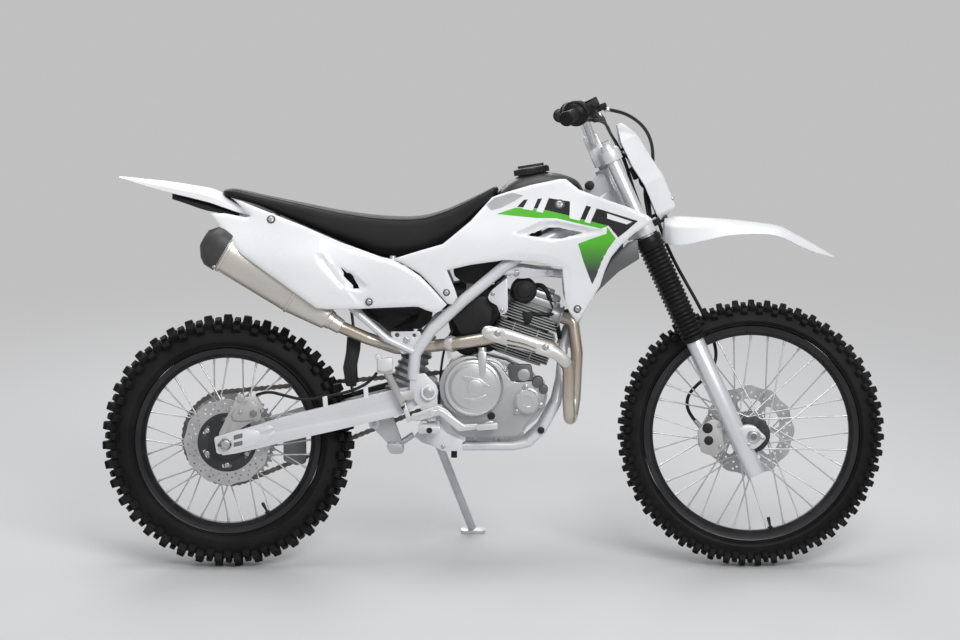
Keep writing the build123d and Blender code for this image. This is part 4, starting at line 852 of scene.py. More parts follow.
seams = [tube_along(0.0011, *[on_seat(-0.665 + 0.678 * k / 60, math.radians(90) + side * math.radians(90) * 0.70 * 0.62)
                              for k in range(61)]) for side in (1, -1)]
seams += [tube_along(0.0010, *[on_seat(x, math.radians(30 + 4 * k)) for k in range(31)]) for x in (-0.455, -0.075)]
hang(seat, "seat_cover", "frame", "seat_cover", vinyl_black, "seat")
hang(seams, "seat_seams", "frame", "seat_cover", vinyl_black)

# ==== Fuel tank and cap ====
# A black moulded plastic tank between the shrouds, with a broad knurled screw cap on its filler neck.
# The shrouds hide its sides, and the seat's nose laps over its back.
tank_plastic = surface("tank_plastic", (0.012, 0.012, 0.0125), (0.020, 0.020, 0.021), 0.4, patch=10, grain=1500,
                       depth=0.00012)
cap_plastic = surface("cap_plastic", (0.009, 0.009, 0.009), (0.018, 0.018, 0.018), 0.36, patch=20, grain=1200,
                      depth=0.0001)
tank = closed_body(mm((-52, 858, 903, 60), (10, 860, 960, 69), (50, 864, 1001, 80), (100, 874, 1021, 89),
                      (150, 884, 1026, 94), (212, 910, 1012, 87), (246, 938, 990, 62)), 3.0, 90, 64, 0.1, 0.02)
saddle = plate(mm((105, 892), (135, 892), (135, 852.4), (105, 852.4)), -0.020, 0.020)
neck = soften(round_part(0.037, 0.024, 48), 0.001)
cap_place = moved(0.110, 0, 1.020) @ rotated(-9, "Y")
placed(neck, cap_place @ moved(0, 0, -0.020))
hang([tank, soften(saddle, 0.002), neck], "tank_shell", "frame", "black_plastic", tank_plastic, "fuel_tank")
cap = round_part(0.0445, 0.014, 96)
pick(cap, lambda centre, normal: normal.z > 0.9)
bpy.ops.mesh.inset(thickness=0.003)
bpy.ops.transform.translate(value=(0, 0, 0.003))
bpy.ops.object.mode_set(mode="OBJECT")
soften(cap, 0.0012, 40)
knurls = copies(soften(round_part(0.0021, 0.0135, 8), 0, 40),
                [Matrix.Rotation(2 * math.pi * k / 48, 4, "Z") @ moved(0.0442, 0, 0.0) for k in range(48)])
grip = placed(moulding(0.008, 0.0, 0.010, (-34, -8.5), (34, -8.5), (34, 8.5), (-34, 8.5), steps=4),
              moved(0, 0, 0.014) @ rotated(90, "X"))
vent = placed(across(0.0035, 0, -0.006, (0, 0), 16), moved(0.026, 0, 0.016) @ rotated(-90, "X"))
cap = gather([cap, knurls, soften(grip, 0.002, 35, 3), vent])
hang(placed(cap, cap_place @ moved(0, 0, 0.0022)), "tank_cap", "frame", "black_plastic", cap_plastic, "fuel_cap")

# ==== Tank shrouds and side covers ====
# Injection-moulded white plastic panels, 3 mm thick, their edges rolled in, held by bolts through rubber rings.
# The shroud is pierced by a sunken air scoop; the side cover has a groove, a crease and a three-cornered vent.
white_plastic = surface("white_plastic", (0.80, 0.81, 0.82), (0.74, 0.75, 0.76), 0.26, patch=5, grain=1600,
                        depth=0.00006, swing=0.07)
panel_wall = 0.003


def to_edge(x, z, outline):
    """How far a side-view point lies from a closed outline: positive inside it, negative outside."""
    nearest, inside = 1e9, False
    for (x0, z0), (x1, z1) in zip(outline, outline[1:] + outline[:1]):
        run_x, run_z = x1 - x0, z1 - z0
        share = ((x - x0) * run_x + (z - z0) * run_z) / (run_x ** 2 + run_z ** 2)
        share = min(1, max(0, share))
        nearest = min(nearest, math.hypot(x - x0 - share * run_x, z - z0 - share * run_z))
        if (z0 > z) != (z1 > z) and x < x0 + (z - z0) / run_z * run_x:
            inside = not inside
    return nearest if inside else -nearest


def flat_grid(outline, pitch, creases):
    """A flat face with an outline, cut into a grid and along its crease lines, ready to be bent."""
    trace_face(outline)
    low_x, high_x = min(x for x, z in outline), max(x for x, z in outline)
    low_z, high_z = min(z for x, z in outline), max(z for x, z in outline)
    lines = [((low_x + pitch * k, 0), (1, 0)) for k in range(1, int((high_x - low_x) / pitch) + 1)]
    lines += [((0, low_z + pitch * k), (0, 1)) for k in range(1, int((high_z - low_z) / pitch) + 1)]
    lines += [(start, (end[1] - start[1], start[0] - end[0])) for start, end in creases]
    for (x, z), (normal_x, normal_z) in lines:
        bpy.ops.mesh.select_all(action="SELECT")
        bpy.ops.mesh.bisect(plane_co=(x, 0, z), plane_no=(normal_x, 0, normal_z))
    bpy.ops.mesh.select_all(action="SELECT")
    bpy.ops.mesh.remove_doubles(threshold=0.0001)
    bpy.ops.object.mode_set(mode="OBJECT")
    bpy.ops.object.transform_apply(location=True)
    return bpy.context.object


def walled(skin, wall, outwards):
    """Turn an open skin's faces outwards and give it a wall inwards."""
    if sum(face.normal.dot(Vector(outwards)) * face.area for face in skin.data.polygons) < 0:
        skin.data.flip_normals()
    return applied(skin, "SOLIDIFY", thickness=wall, offset=-1)


def moulded(outline, side, dent, wall, pitch=0.008, creases=(), opening=None, roll=0.006, edge=0.0008):
    """A right-hand panel: its face bent to a side function, dented, rolled in at the edges, and given a wall."""
    piece = flat_grid(outline, pitch, creases)
    if opening:
        pick(piece, lambda centre, normal: to_edge(centre.x, centre.z, opening) > 0)
        bpy.ops.mesh.delete(type="FACE")
        bpy.ops.object.mode_set(mode="OBJECT")
    for corner in piece.data.vertices:
        x, z = corner.co.x, corner.co.z
        fall = max(0.0, 1 - to_edge(x, z, outline) / roll) if roll else 0
        corner.co.y = -(side(x, z) - dent(x, z) - 0.55 * roll * fall * fall)
    edit(piece)
    walled(close_up(), wall, (0, -1, 0))
    return soften(piece, edge, 50, 2) if edge else soften(piece, 0, 40)


def both_sides(piece):
    """Add the same piece, or pieces gathered from a list, on the other side of the bike."""
    piece = gather(piece) if isinstance(piece, list) else piece
    return applied(piece, "MIRROR", use_axis=(False, True, False), use_mirror_merge=False)


def bent(places, rows):
    """How far to the side a panel stands at (x, z), smoothly through its rows of sides at heights (millimetres)."""
    levels = [(height / 1000, mm(*zip(places, sides))) for height, sides in rows.items()]
    return lambda x, z: through([(height, through(curve, x)) for height, curve in levels], z)


def sides_of(outline):
    """The sides of a closed outline."""
    return list(zip(outline, outline[1:] + outline[:1]))


def ramp(x, z, outline, slope, most):
    """A height that rises from the edge of an outline up to its most."""
    return min(most, max(0.0, to_edge(x, z, outline)) * slope)


shroud_side = bent((-320, 0, 200, 330, 460), {
    600: (128, 132, 136, 140, 142),
    740: (134, 138, 144, 154, 154),
    860: (130, 134, 150, 168, 174),
    960: (96, 98, 120, 158, 172),
    1040: (70, 72, 90, 136, 156),
})
shroud_outline = mm(
    (-249, 806), (-177, 828), (-121, 844), (-101, 860), (-50, 902), (6, 963), (26, 971), (103, 994), (179, 1010),
    (196, 1010), (230, 983), (294, 960), (357, 939), (403, 919), (416, 908), (402, 894), (369, 873), (336, 844),
    (310, 812), (295, 778), (282, 737), (242, 669), (224, 642), (204, 670), (194, 698), (186, 782), (153, 792),
    (115, 800), (39, 804), (-50, 791), (-110, 777), (-101, 756), (-90, 730), (-83, 707), (-96, 689), (-108, 691),
    (-152, 740), (-177, 766), (-215, 790))
scoop = mm((57, 870), (128, 902), (169, 905), (290, 880), (286, 873), (158, 850))
scoop_hole = mm((92, 866), (141, 885), (179, 886), (242, 874), (179, 858))
front_band = mm(
    (403, 919), (416, 908), (402, 894), (369, 873), (336, 844), (310, 812), (295, 778), (282, 737), (242, 669),
    (224, 642), (219, 651), (234, 677), (271, 740), (283, 781), (298, 817), (326, 851), (361, 882), (392, 903))
lower_fold = mm((-83, 707), (-20, 800), (60, 822), (150, 812), (206, 790), (204, 720), (224, 642), (194, 698),
                (186, 782), (153, 792), (39, 804), (-50, 791), (-110, 777))


def shroud_dent(x, z):
    """The scoop sinks towards its rear; a bright rolled band stands proud down the front edge."""
    proud = 0.0028 * min(1, max(0.0, to_edge(x, z, front_band) + 0.001) / 0.0035)
    fold = 0.005 * min(1, max(0.0, to_edge(x, z, lower_fold)) / 0.014)
    return ramp(x, z, scoop, 1.1, 0.011) + fold - proud


shroud = moulded(shroud_outline, shroud_side, shroud_dent, panel_wall, 0.007,
                 sides_of(scoop) + sides_of(scoop_hole), scoop_hole)
hang(both_sides(shroud), "tank_shroud_panels", "frame", "white_plastic", white_plastic, "tank_shrouds")

cover_side = bent((-780, -560, -460, -300, -60), {
    660: (156, 160, 160, 150, 134),
    740: (156, 162, 162, 150, 135),
    820: (150, 156, 152, 140, 130),
    920: (98, 114, 120, 116, 104),
    1000: (84, 100, 108, 104, 92),
})
cover_outline = mm(
    (-718, 922), (-680, 870), (-635, 818), (-462, 694), (-444, 681), (-418, 678), (-330, 679), (-197, 684),
    (-182, 683), (-164, 675), (-139, 667), (-126, 673), (-110, 689), (-154, 738), (-179, 763), (-217, 788),
    (-250, 805), (-277, 811), (-382, 849), (-484, 893), (-637, 952), (-657, 957), (-614, 915), (-627, 912),
    (-680, 922))
cover_vent = mm((-380, 783), (-355, 768), (-332, 731), (-345, 731), (-368, 757))
vent_dip = mm((-392, 793), (-352, 773), (-302, 731), (-330, 724), (-352, 726), (-374, 758))
cover_groove = mm((-440, 816), (-428, 822), (-368, 738), (-374, 728), (-384, 736), (-438, 802))
cover_front = mm((-430, 826), (-374, 735), (-328, 674), (-90, 660), (-90, 820), (-277, 830), (-420, 880))


def cover_dent(x, z):
    """The groove, the vent's dip and the step along the crease."""
    step = 0.0035 * min(1, max(0.0, to_edge(x, z, cover_front)) / 0.006)
    return ramp(x, z, cover_groove, 0.8, 0.0045) + ramp(x, z, vent_dip, 0.7, 0.007) + step


cover = moulded(cover_outline, cover_side, cover_dent, panel_wall, 0.008,
                sides_of(cover_vent) + sides_of(vent_dip) + [mm((-374, 735), (-328, 674)),
                                                             mm((-438, 815), (-374, 730))],
                cover_vent)
hang(both_sides(cover), "side_cover_panels", "frame", "white_plastic", white_plastic, "side_covers")

# Fixings: dark rubber rings with dished silver bolts, one pair a side.
ring_rubber = surface("ring_rubber", (0.05, 0.05, 0.052), (0.08, 0.08, 0.08), 0.55, patch=40, grain=1400, depth=0.0001)
rings, heads = [], []
for x, z, head, side in ((0.179, 0.946, 0.010, shroud_side), (-0.111, 0.720, 0.0068, shroud_side),
                         (0.225, 0.678, 0.0078, shroud_side), (-0.561, 0.907, 0.0085, cover_side),
                         (-0.309, 0.697, 0.0072, cover_side)):
    steep = (side(x, z + 0.01) - side(x, z - 0.01)) / 0.02
    swept = (side(x + 0.01, z) - side(x - 0.01, z)) / 0.02
    lie = (moved(x, -side(x, z), z) @ Matrix.Rotation(math.atan(steep), 4, "X")
           @ Matrix.Rotation(math.atan(-swept), 4, "Z"))
    rings.append(placed(across(head * 1.32, 0.004, -0.0012, (0, 0), 32), lie))
    heads.append(placed(bolts([(0, 0)], -0.0008, head, 0.003)[0], lie))
hang(both_sides(softened(rings, 0.0005, 40)), "panel_rings", "frame", "rubber", ring_rubber)
hang(both_sides(heads), "panel_bolts", "frame", "steel", bolt_steel)

# ==== Shroud graphics ====
# Thin vinyl decals in green and black with slanted white flashes, laid on the upper half of each shroud.
# Each follows the panel's face a little way above it, and the left side mirrors the right.
fresh_green, worn_green = (0.075, 0.42, 0.022), (0.10, 0.47, 0.03)
fade_grey = (0.055, 0.060, 0.058, 1)
decal_green = surface("decal_green", fresh_green, worn_green, 0.24, patch=14, grain=1200, depth=0.00002, swing=0.05)
decal_fade = surface("decal_fade", fresh_green, worn_green, 0.24, patch=14, grain=1200, depth=0.00002, swing=0.05)
decal_black = surface("decal_black", (0.008, 0.008, 0.009), (0.014, 0.014, 0.014), 0.26, patch=14, grain=1200,
                      depth=0.00002, swing=0.05)
decal_grey = surface("decal_grey", (0.36, 0.37, 0.38), (0.45, 0.46, 0.47), 0.3, patch=14, grain=1200, depth=0.00002)
nodes, wire, add = shading(decal_fade)
upright = parked.inverted()
unleaned = add("Mapping", {"Location": upright.to_translation(), "Rotation": upright.to_euler()})
height = add("SeparateXYZ")
darker = add("MapRange", {"From Min": 0.850, "From Max": 0.775})
tinted = add("Mix", {7: fade_grey}, data_type="RGBA")
wire(nodes["Texture Coordinate"].outputs["Object"], unleaned.inputs["Vector"])
wire(unleaned.outputs["Vector"], height.inputs["Vector"])
wire(height.outputs["Z"], darker.inputs["Value"])
wire(darker.outputs["Result"], tinted.inputs[0])
wire(nodes["Color Ramp"].outputs["Color"], tinted.inputs[6])
wire(tinted.outputs[2], nodes["Principled BSDF"].inputs["Base Color"])

# each decal: its name, finish, how far it stands over the shroud's face, and its shapes
for name, material, lift, shapes in (
        ("shroud_grey_fade", decal_grey, 0.0003, [
            [(-8, 944), (12, 962), (58, 975), (86, 968), (60, 952), (28, 936), (4, 930)]]),
        ("shroud_green", decal_green, 0.0003, [
            [(18, 921), (66, 937), (132, 933), (190, 921), (284, 897), (302, 892), (284, 885), (170, 911),
             (120, 911)]]),
        ("shroud_fade", decal_fade, 0.0003, [
            [(300, 889), (322, 860), (303, 834), (286, 800), (272, 762), (262, 742), (240, 800), (226, 846),
             (262, 860), (298, 872)]]),
        ("shroud_black", decal_black, 0.0004, [
            [(88, 957), (150, 962), (214, 952), (290, 932), (378, 905), (352, 882), (328, 863), (304, 892),
             (284, 897), (190, 921), (130, 934), (70, 939)]]),
        ("shroud_flashes", white_plastic, 0.0006, [
            [(104, 968), (128, 970), (110, 930), (84, 934)],
            [(138, 968), (154, 967), (136, 924), (119, 928)],
            [(206, 960), (250, 950), (230, 905), (204, 911)],
            [(262, 946), (276, 942), (256, 898), (242, 902)],
            [(300, 924), (364, 903), (350, 896), (300, 911)]])):
    flat = [moulded(mm(*shape), shroud_side, lambda x, z: shroud_dent(x, z) - lift, 0.0002, 0.009, (), None, 0, 0)
            for shape in shapes]
    hang(both_sides(flat), name, "frame", "white_plastic", material)
# The shrouds' front return faces are white plastic, coloured dark grey as painted shade because they face away from the
# lamps.
shroud_return_shade = surface("shroud_return_shade", (0.105, 0.108, 0.112), (0.085, 0.087, 0.09), 0.42, patch=9, grain=1500,
                     depth=0.00006)
returns = [moulding(0.003, -0.1245, -0.1215, (379, 857), (354, 848), (311, 799), (262, 705), (283, 728), (331, 773),
                    (384, 806)),
           moulding(0.003, 0.1215, 0.1245, (352, 846), (311, 799), (262, 705), (283, 728), (331, 773), (350, 784))]
hang(softened(returns, 0.0008), "shroud_inner_return", "frame", "white_plastic", shroud_return_shade)


# ==== Frame ====
# A welded steel cradle frame in silver-grey paint: head tube, two bent spars, down tube, cradle and brackets.
# The seat rails are bolted on behind; bolts, plugs and the pivot's ring are fitted to it.
frame_silver = surface("frame_silver", (0.72, 0.73, 0.75), (0.66, 0.67, 0.69), 0.34, metal=0.2, patch=9, grain=1300,
                       depth=0.00008, swing=0.09)
white_trim = surface("white_trim", (0.78, 0.79, 0.80), (0.70, 0.71, 0.72), 0.35, patch=20, grain=1200, depth=0.00006)
# Black trim plastic; the same black is used for sheets that are painted shade: the vent backing, the flap under the
# shroud and the wall in the bike's middle.
black_trim_and_shade = surface("black_trim_and_shade", (0.0065, 0.0065, 0.007), (0.014, 0.014, 0.0145), 0.46, patch=20, grain=1400,
                     depth=0.0001, shine=0.35)


def refined(node, name, body, slot, material, width=0.0012, corner=38, segments=2):
    """A CAD piece with its flat faces cleaned, its sharp edges rounded and its round faces smoothed."""
    source = frame["nodes"][node]
    piece = bpy.data.objects.new(name, source.data.copy())
    bpy.context.collection.objects.link(piece)
    edit(placed(piece, source.matrix_world))
    bpy.ops.mesh.remove_doubles(threshold=0.00002)
    bpy.ops.mesh.dissolve_limited(angle_limit=math.radians(1.0))
    bpy.ops.object.mode_set(mode="OBJECT")
    return fix(soften(piece, width, corner, segments), name, body, slot, material, node)


refined("main_frame", "frame_tubes", "frame", "frame_paint", frame_silver, 0.0012)
refined("seat_rails", "seat_rail_tubes", "frame", "frame_paint", frame_silver, 0.0008)
pivot_centre = (-0.157, 0.462)
gusset = moulding(0.006, -0.033, -0.0295, (235, 972), (290, 1026), (308, 1012), (340, 940), (317, 930))
joint = moulding(0.006, -0.117, -0.1135, (-256, 618), (-178, 619), (-176, 600), (-206, 566), (-226, 560), (-249, 600))
cut(joint, across(0.006, -0.12, -0.11, (-0.238, 0.610), 16), across(0.005, -0.12, -0.11, (-0.194, 0.609), 16))
stay = moulding(0.007, -0.112, -0.107, (-6, 706), (4, 724), (46, 758), (47, 673), (38, 662), (27, 664), (19, 686),
                (2, 694))
brace_lug = moulding(0.006, -0.100, -0.094, (52, 756), (52, 782), (84, 784), (120, 779), (165, 776), (165, 762),
                     (84, 754))
foot_step = moulding(0.010, -0.100, -0.094, (-150, 430), (-100, 426), (-62, 366), (-62, 330), (-118, 334), (-150, 392))
pads = softened((gusset, joint, stay, brace_lug, foot_step), 0.0012, 40)
pivot_boss = across(0.0225, -0.1225, -0.1300, pivot_centre, 6, 0.96)
hang(both_sides([*pads, soften(pivot_boss, 0.0015, 30)]), "frame_brackets", "frame", "frame_paint", frame_silver)
frame_bolts = []
for x, side, z, head in ((68, -0.100, 768, 0.0092), (148, -0.100, 769, 0.005), (8, -0.112, 716, 0.006),
                         (32, -0.112, 673, 0.006), (-214, -0.117, 597, 0.0095), (-150, -0.104, 400, 0.007),
                         (-120, -0.1045, 320, 0.006)):
    frame_bolts += bolts(mm((x, z)), side, head, 0.004)
hang(both_sides(frame_bolts), "frame_bolts", "frame", "steel", bolt_steel)
ring = across(0.0205, -0.1295, -0.1345, pivot_centre, 48, 0.94)
cut(ring, across(0.0145, -0.14, -0.12, pivot_centre, 48))
hang(both_sides(soften(ring, 0.0008)), "pivot_ring", "frame", "white_plastic", white_trim)
seal = across(0.0148, -0.1300, -0.1335, pivot_centre, 40, 0.96)
plug = across(0.0095, -0.085, -0.0925, (0.1325, 0.361), 32, 0.9)
peg_rubber = placed(round_part(0.008, 0.020, 24, 0.95), moved(-0.092, -0.074, 0.289))
lock_knob = across(0.013, -0.040, -0.052, (0.258, 0.992), 24, 0.85)
hang(softened((seal, plug, peg_rubber, lock_knob), 0.0012), "frame_plugs", "frame", "black_plastic", black_trim_and_shade)
pin = gather([across(0.0112, -0.1330, -0.1352, pivot_centre, 32, 0.9), across(0.0085, 0.125, 0.1320, pivot_centre, 6)])
hang(soften(pin, 0.0008), "pivot_pin_ends", "frame", "steel", bolt_steel)
refined("pivot_bolt", "pivot_bolt_shaft", "frame", "steel", bolt_steel, 0.0008)

# ==== Swingarm ====
# A box-section aluminium arm with cast end plates, chain adjusters, a chain slider and hose clips.
# It turns on the pivot bolt behind the engine and holds the rear axle between its end plates.
arm_alloy = surface("arm_alloy", (0.76, 0.77, 0.79), (0.70, 0.71, 0.73), 0.33, metal=0.3, patch=8, grain=1400,
                    depth=0.0001, swing=0.08)
# Dark grey: the spring's and the piston plug's own colour, and painted shade in the adjuster slots and the axle's bore
# ends.
dark_grey_and_recess_shade = surface("dark_grey_and_recess_shade", (0.16, 0.16, 0.17), (0.22, 0.22, 0.22), 0.5, metal=0.3, patch=30, grain=1200,
                      depth=0.0001)
chain_grey = surface("chain_grey", (0.33, 0.335, 0.34), (0.27, 0.275, 0.28), 0.5, patch=20, grain=1300, depth=0.0001)
refined("swingarm", "swingarm_body", "frame", "bare_alloy", arm_alloy, 0.0022, 40, 3)
end_plate = moulding(0.007, -0.1075, -0.1115, (-711, 345), (-642, 366), (-596, 362), (-588, 346), (-604, 325),
                     (-692, 301), (-704, 303))
rib_high = moulding(0.004, -0.1075, -0.1105, (-640, 362), (-566, 376), (-556, 369), (-604, 352))
rib_low = moulding(0.004, -0.1075, -0.1105, (-612, 334), (-556, 362), (-553, 353), (-600, 322))
hang(both_sides(softened((end_plate, rib_high, rib_low), 0.0012)), "arm_end_plates", "frame", "bare_alloy", arm_alloy)
# The adjuster slots are thin dark sheets on the end plates, not cut: painted shade of the slots.
slots = [moulding(0.002, -0.1112, -0.1118, *outline) for outline in
         (((-660, 350), (-637, 356), (-637, 344), (-660, 338)), ((-660, 331), (-637, 337), (-637, 325), (-660, 320)))]
hang(both_sides([*slots, across(0.0045, -0.111, -0.1117, (-0.697, 0.325), 16)]), "adjuster_slots", "frame",
     "dark_metal", dark_grey_and_recess_shade)
nut = across(0.0125, -0.1245, -0.1310, (-0.680, 0.328), 6, 0.95)
nut_ring = across(0.0165, -0.1115, -0.1240, (-0.680, 0.328), 40, 0.97)
hang(both_sides(softened((nut, nut_ring), 0.0008)), "axle_nuts", "frame", "steel", bolt_steel)
refined("rear_axle", "rear_axle_shaft", "frame", "steel", bolt_steel, 0.0006)
clips = [moulding(0.002, -0.1085, -0.0895, (x - 5, z - 18), (x + 6, z - 15), (x + 4, z + 16), (x - 8, z + 13))
         for x, z in ((-423, 436), (-318, 461))]
hang(softened(clips, 0.001), "hose_clips", "frame", "white_plastic", white_trim)
slider = moulding(0.004, 0.081, 0.103, (-400, 434), (-330, 455), (-262, 474), (-176, 486), (-172, 474), (-262, 458),
                  (-398, 424))
slider_low = moulding(0.003, 0.084, 0.104, (-300, 398), (-210, 416), (-208, 408), (-298, 390))
hang([soften(slider, 0.0012), soften(slider_low, 0.001)], "chain_slider", "frame", "black_plastic", black_trim_and_shade)
guide_cheeks = [moulding(0.006, near, far, (-540, 322), (-481, 334), (-481, 262), (-506, 256), (-540, 268))
                for near, far in ((0.0775, 0.0815), (0.0505, 0.0545))]
guide_base = moulding(0.004, 0.0545, 0.0775, (-540, 318), (-481, 330), (-481, 308), (-540, 297))
hang(softened((*guide_cheeks, guide_base), 0.0012), "chain_guide", "frame", "black_plastic", chain_grey)

# ==== Suspension linkage and side stand ====
# A damper with its coil spring behind the engine, worked by a cast rocker and a tie rod under the arm.
# The side stand is a forged and painted leg with a welded foot and a return spring.
link_alloy = surface("link_alloy", (0.60, 0.61, 0.62), (0.50, 0.51, 0.52), 0.38, metal=0.45, patch=18, grain=1200,
                     depth=0.00015)
refined("rear_suspension", "damper_and_linkage", "frame", "dark_metal", link_alloy, 0.0015, 40)
refined("side_stand", "side_stand_leg", "side_stand", "dark_metal", link_alloy, 0.0015, 40)
shock_top = Vector((-0.150, 0, 0.628))
shock_line = (Vector((-0.268, 0, 0.392)) - shock_top).normalized()
side_line = Vector((0, 1, 0))
front_line = shock_line.cross(side_line)
coil_turns, coil_steps, coil_radius = 8, 16, 0.0335
spring_start, spring_length = 0.072, 0.148
coils = []
for k in range(coil_turns * coil_steps + 1):
    turn = 2 * math.pi * k / coil_steps
    middle = shock_top + shock_line * (spring_start + spring_length * k / (coil_turns * coil_steps))
    coils.append(middle + (side_line * math.cos(turn) + front_line * math.sin(turn)) * coil_radius)
hang(tube_along(0.0048, *coils), "damper_spring", "frame", "steel", dark_grey_and_recess_shade)
ell = moulding(0.008, -0.034, -0.0245, (-268, 316), (-262, 322), (-226, 320), (-222, 300), (-232, 294), (-258, 294))
eyes = [across(0.012, -0.0245, -0.030, place, 24, 0.94) for place in mm((-300, 374), (-240, 314), (-268, 392))]
hang(both_sides(softened((ell, *eyes), 0.001)), "linkage_eyes", "frame", "bare_alloy", link_alloy)

# ==== Engine ====
# An air-cooled single: sand-cast aluminium cases with bolted covers, a finned cylinder and head leaning forwards.
# A black cap closes the head's right side; the plug lead and the breather hose run to the frame.
cast_alloy = surface("cast_alloy", (0.48, 0.485, 0.49), (0.36, 0.365, 0.37), 0.38, metal=0.65, patch=12, grain=900,
                     depth=0.0003, swing=0.08, bump=0.3)
polished_cast = surface("polished_cast", (0.66, 0.665, 0.67), (0.56, 0.565, 0.57), 0.29, metal=0.75, patch=6,
                        grain=1400,
                        depth=0.00003, swing=0.05, bump=0.15)
# Dark cast grey: the starter drive's own colour, and painted shade on the cylinder's core between the fins.
dark_cast_and_fin_shade = surface("dark_cast_and_fin_shade", (0.11, 0.11, 0.113), (0.16, 0.16, 0.164), 0.45, metal=0.6, patch=18, grain=1000,
                    depth=0.0003)
# Black rubber; the same black is also painted shade in the foot peg's hollow end.
black_rubber_and_shade = surface("black_rubber_and_shade", (0.006, 0.006, 0.0065), (0.013, 0.013, 0.0135), 0.50, patch=25, grain=1300,
                       depth=0.0002, shine=0.32)
refined("crankcase", "engine_cases", "frame", "engine_alloy", cast_alloy, 0.0022, 40, 2)
cover = moulding(0.020, -0.0895, -0.1045, (-113, 502), (-126, 458), (-120, 414), (-94, 362), (-70, 345), (76, 346),
                 (94, 377), (140, 432), (146, 458), (124, 493), (59, 487), (20, 540), (-60, 552), steps=5)
soften(cover, 0.0045, 40, 3)
flange = moulding(0.020, -0.0860, -0.0905, (-116, 506), (-130, 458), (-124, 412), (-97, 357), (-72, 340), (79, 341),
                  (98, 375), (145, 430), (151, 458), (127, 498), (62, 492), (22, 546), (-62, 557), steps=5)
case_places = mm((86, 386), (80, 354), (30, 348), (-37, 346), (-91, 356), (-124, 484), (40, 518), (93, 484),
                 (134, 484), (-122, 424))
bosses = softened([across(0.0088, -0.086, -0.0955, place, 20, 0.92) for place in case_places], 0.001)
hang([cover, soften(flange, 0.0012), *bosses], "clutch_side_cover", "frame", "engine_alloy", cast_alloy)
hang(bolts(case_places, -0.0953, 0.0062, 0.0045), "clutch_side_bolts", "frame", "steel", bolt_steel)

clutch = Vector((-0.043, 0, 0.474))
dome = draw_and_spin(mm((0, -100), (78.5, -100), (78.5, -112.5), (75.5, -116.5), (74.5, -121.5), (71.5, -125.2),
                        (66.5, -126.8), (64, -126.2), (61.5, -126.8), (48, -129.2), (25, -130.6),
                        (0, -130.9)), clutch, 96)
soften(dome, 0, 28)
wedge_high = moulding(0.003, -0.128, -0.1322, (-72, 506), (-24, 498), (0, 478), (-30, 480), (-64, 492))
wedge_low = moulding(0.003, -0.128, -0.1318, (-8, 458), (-16, 440), (-52, 436), (-70, 448), (-38, 446))
hub_pad = across(0.0215, -0.130, -0.1330, (-0.038, 0.474), 48, 0.95)
rims = softened((wedge_high, wedge_low, hub_pad), 0.0009, 35)
hang([dome, *rims], "clutch_cover", "frame", "engine_alloy", polished_cast)
filter_lid = draw_and_spin(mm((0, -104), (33.5, -104), (33.5, -108.5), (29.8, -110.5), (29.8, -116.5), (27, -119),
                              (15, -120), (13.5, -118.8), (0, -118.5)), Vector((0.097, 0, 0.439)), 64)
lid_places = mm((93, 475), (131, 428), (70, 412))
lugs = softened([across(0.0075, -0.104, -0.1145, place, 20, 0.93) for place in lid_places], 0.001)
hang([soften(filter_lid, 0, 28), *lugs], "oil_filter_lid", "frame", "engine_alloy", polished_cast)
hang(bolts(lid_places, -0.1143, 0.0056, 0.004), "oil_filter_bolts", "frame", "steel", bolt_steel)
glass = across(0.0105, -0.1045, -0.1075, (0.004, 0.400), 32, 0.9)
oval = moulding(0.006, -0.1045, -0.1068, (-18, 370), (-14, 384), (8, 388), (12, 376), (-4, 366), steps=4)
hang(soften(glass, 0.0008), "oil_sight_glass", "frame", "black_plastic", black_trim_and_shade)
lever_arm = moulding(0.006, -0.1300, -0.1215, (-30, 568), (-8, 568), (-8, 540), (-13, 499), (-27, 499), (-29, 540))
lever_boss = placed(round_part(0.0105, 0.046, 24), moved(-0.019, -0.1175, 0.532))
hang(softened((oval, lever_arm, lever_boss), 0.0012), "clutch_release", "frame", "engine_alloy", polished_cast)
starter = moulding(0.007, -0.078, -0.108, (46, 534), (108, 532), (114, 492), (54, 490))
starter_neck = across(0.015, -0.078, -0.112, (0.124, 0.488), 28, 0.94)
pipe_boss = across(0.013, -0.078, -0.106, (0.138, 0.468), 28, 0.94)
hang(softened((starter, starter_neck, pipe_boss), 0.0022, 35, 3), "starter_drive", "frame", "engine_alloy", dark_cast_and_fin_shade)
stator = draw_and_spin(mm((0, 90), (74.5, 90), (74.5, 100), (70, 106.5), (60, 110.5), (0, 112)),
                       Vector((0.030, 0, 0.448)), 96)
chain_case = moulding(0.016, 0.0865, 0.103, (-136, 440), (-128, 500), (-96, 524), (-52, 516), (-38, 440), (-70, 420),
                      (-112, 420), steps=4)
hang([soften(stator, 0, 28), soften(chain_case, 0.003, 35, 3)], "left_covers", "frame", "engine_alloy", polished_cast)
stator_ring = [(0.030 + 0.067 * math.cos(turn), 0.448 + 0.067 * math.sin(turn))
               for turn in [math.radians(30 + 60 * k) for k in range(6)]]
left_bolts = bolts(stator_ring, 0.1045, 0.0055, 0.005) + bolts(mm((-122, 438), (-118, 500), (-62, 508)), 0.103,
                                                               0.0055, 0.004)
hang(left_bolts, "left_cover_bolts", "frame", "steel", bolt_steel)

lean_forward = math.radians(19)
cylinder_up = Vector((math.sin(lean_forward), 0, math.cos(lean_forward)))
cylinder_ahead = Vector((math.cos(lean_forward), 0, -math.sin(lean_forward)))
cylinder_place = moved(0.070, 0, 0.545) @ standing(cylinder_ahead, (0, 1, 0), cylinder_up)


